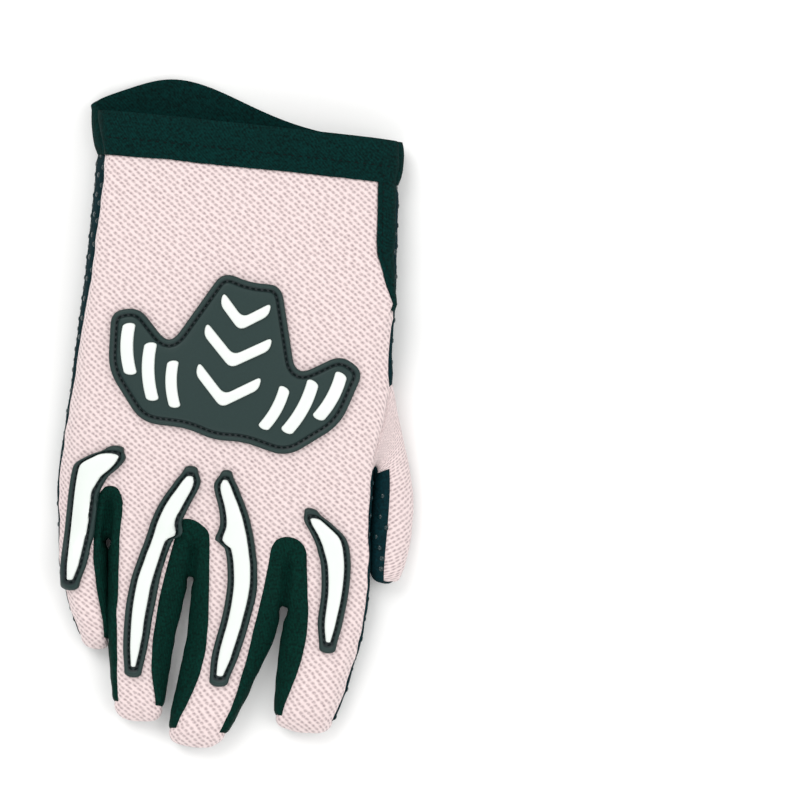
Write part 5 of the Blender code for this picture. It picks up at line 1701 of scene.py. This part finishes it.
def white_rubber():
    """White moulded rubber: smooth and slightly glossy."""
    made, tree, shader = new_material("white moulded rubber", roughness=0.36)
    smudges = add(tree, "ShaderNodeTexNoise", at_size(tree, SMUDGE, detail=4.0)).outputs["Fac"]
    colour = add(tree, "ShaderNodeMixRGB", {"Fac": smudges, **shades(rubber().white, 1.0, 0.94)})
    surface(tree, shader, colour, smudges, strength=0.1, depth=0.00005)
    return made


def polyester_thread():
    """Twisted polyester thread: dark, with the twist just visible."""
    made, tree, shader = new_material("twisted polyester thread", roughness=0.7, Specular_IOR_Level=0.12)
    plies = at_size(tree, THREAD_TWIST, detail=2.0, scale=0.6)
    twist = add(tree, "ShaderNodeTexWave", plies, bands_direction="DIAGONAL").outputs["Fac"]
    colour = add(tree, "ShaderNodeMixRGB", {"Fac": twist, **shades(cloth().thread, 0.7, 1.6)})
    surface(tree, shader, colour, twist, strength=0.4, depth=0.00006)
    return made


def silicone():
    """Printed silicone: small glossy drops, dark and slightly clear, each with its own bright glint."""
    made, tree, shader = new_material("printed silicone", roughness=0.16, Specular_IOR_Level=0.5)
    cloudy = add(tree, "ShaderNodeTexNoise", at_size(tree, SILICONE_CLOUD, detail=1.0))
    drops = {"Fac": cloudy.outputs["Fac"], **shades(cloth().dot, 0.7, 1.3)}
    surface(tree, shader, add(tree, "ShaderNodeMixRGB", drops))
    return made


def painted_floor():
    """A smooth pale sheet, matte, with the faintest mottle."""
    made, tree, shader = new_material("matte pale sheet", roughness=0.9)
    mottle = add(tree, "ShaderNodeTexNoise", at_size(tree, SHEET_MOTTLE, detail=2.0))
    pale = {"Fac": mottle.outputs["Fac"], **shades(bpy.context.scene.glove_stage.floor, 1.0, 0.985)}
    surface(tree, shader, add(tree, "ShaderNodeMixRGB", pale))
    return made


# The stage

PICTURE_CENTRE = (0.04966, 0.00802)  # the picture's middle, from the middle of the glove's back
BACK_MIDDLE = 0.082  # the cuff's rim from the middle of the glove's back
GLOVE_TOP = 0.014  # the height at which the picture's scale holds
FLOOR_SIZE = 6.0
ROOM_LIGHT = 0.68  # strength of the white light all round

# Large soft lights that face the glove, with their diameter
Light = namedtuple("Light", "name place size watts")
LIGHTS = [
    Light("key", (-0.55, 0.75, 1.15), 0.9, 8.0),
    Light("fill", (0.85, 0.10, 1.05), 1.1, 5.0),
    Light("front", (-0.10, -0.95, 1.00), 1.0, 4.0),
]


class GLOVE_OT_set_stage(bpy.types.Operator):
    """Sets the floor, the soft lights and the camera"""

    bl_idname = "glove.set_stage"
    bl_label = "Set the stage"

    def execute(self, context):
        self.add_floor()
        for light in LIGHTS:
            self.add_light(*light)
        world = bpy.data.worlds.new("pale room")
        world.use_nodes = True
        background = world.node_tree.nodes["Background"]
        background.inputs["Color"].default_value = (1.0, 1.0, 1.0, 1.0)
        background.inputs["Strength"].default_value = ROOM_LIGHT
        context.scene.world = world
        context.scene.view_settings.view_transform = "Standard"
        self.add_camera(context)
        return {"FINISHED"}

    def add_floor(self):
        """A wide pale sheet under the glove."""
        deselect()
        under_dots = CAD_BOX[0][2] - cloth().dot_size * DOT_RISE / 2
        bpy.ops.mesh.primitive_plane_add(size=FLOOR_SIZE, location=(0.0, 0.0, under_dots))
        floor = bpy.context.object
        floor.name = "floor"
        bpy.ops.object.transform_apply(location=True, rotation=False, scale=False)
        floor.data.materials.append(painted_floor())

    def add_light(self, name, place, size, watts):
        """A large soft light that faces the glove."""
        bpy.ops.object.light_add(type="AREA", location=place)
        light = bpy.context.object
        light.name = name
        light.data.shape = "DISK"
        light.data.size = size
        light.data.energy = watts
        light.rotation_euler = (-Vector(place)).to_track_quat("-Z", "Y").to_euler()

    def add_camera(self, context):
        """A camera straight above, turned as the glove is turned in the picture."""
        stage, shift = context.scene.glove_stage, shift_now()
        centre = Vector((PICTURE_CENTRE[0] + shift.x, PICTURE_CENTRE[1] - BACK_MIDDLE + shift.y))
        bpy.ops.object.camera_add(location=(centre.x, centre.y, stage.camera_height))
        camera = bpy.context.object
        camera.rotation_euler = (0.0, 0.0, stage.camera_turn)
        distance = stage.camera_height - GLOVE_TOP
        camera.data.lens = camera.data.sensor_width * distance / stage.frame_width
        context.scene.camera = camera


class GLOVE_PT_panel(bpy.types.Panel):
    """Lists the glove's steps, sizes and colours."""

    bl_idname = "GLOVE_PT_panel"
    bl_label = "Motocross Glove"
    bl_space_type = "VIEW_3D"
    bl_region_type = "UI"
    bl_category = "Glove"

    def draw(self, context):
        for step in STEPS:
            self.layout.operator(step.bl_idname)
        for name, group in GROUPS.items():
            box = self.layout.box()
            for key in group.__annotations__:
                box.prop(getattr(context.scene, name), key)


GROUPS = {
    "glove_hand": HandSizes,
    "glove_cuff": CuffSizes,
    "glove_cloth": ClothFinish,
    "glove_rubber": RubberFinish,
    "glove_stage": StageSettings,
}
STEPS = [
    GLOVE_OT_sew_skin,
    GLOVE_OT_mould_plate,
    GLOVE_OT_mould_guards,
    GLOVE_OT_stitch,
    GLOVE_OT_print_dots,
    GLOVE_OT_set_stage,
]


def register():
    for name, group in GROUPS.items():
        bpy.utils.register_class(group)
        setattr(bpy.types.Scene, name, bpy.props.PointerProperty(type=group))
    for step in STEPS:
        bpy.utils.register_class(step)
    bpy.utils.register_class(GLOVE_PT_panel)


def unregister():
    bpy.utils.unregister_class(GLOVE_PT_panel)
    for step in reversed(STEPS):
        bpy.utils.unregister_class(step)
    for name, group in GROUPS.items():
        delattr(bpy.types.Scene, name)
        bpy.utils.unregister_class(group)


def main():
    register()
    bpy.ops.glove.sew_skin()
    bpy.ops.glove.mould_plate()
    bpy.ops.glove.mould_guards()
    bpy.ops.glove.stitch()
    bpy.ops.glove.print_dots()
    bpy.ops.glove.set_stage()


if __name__ == "__main__":
    main()
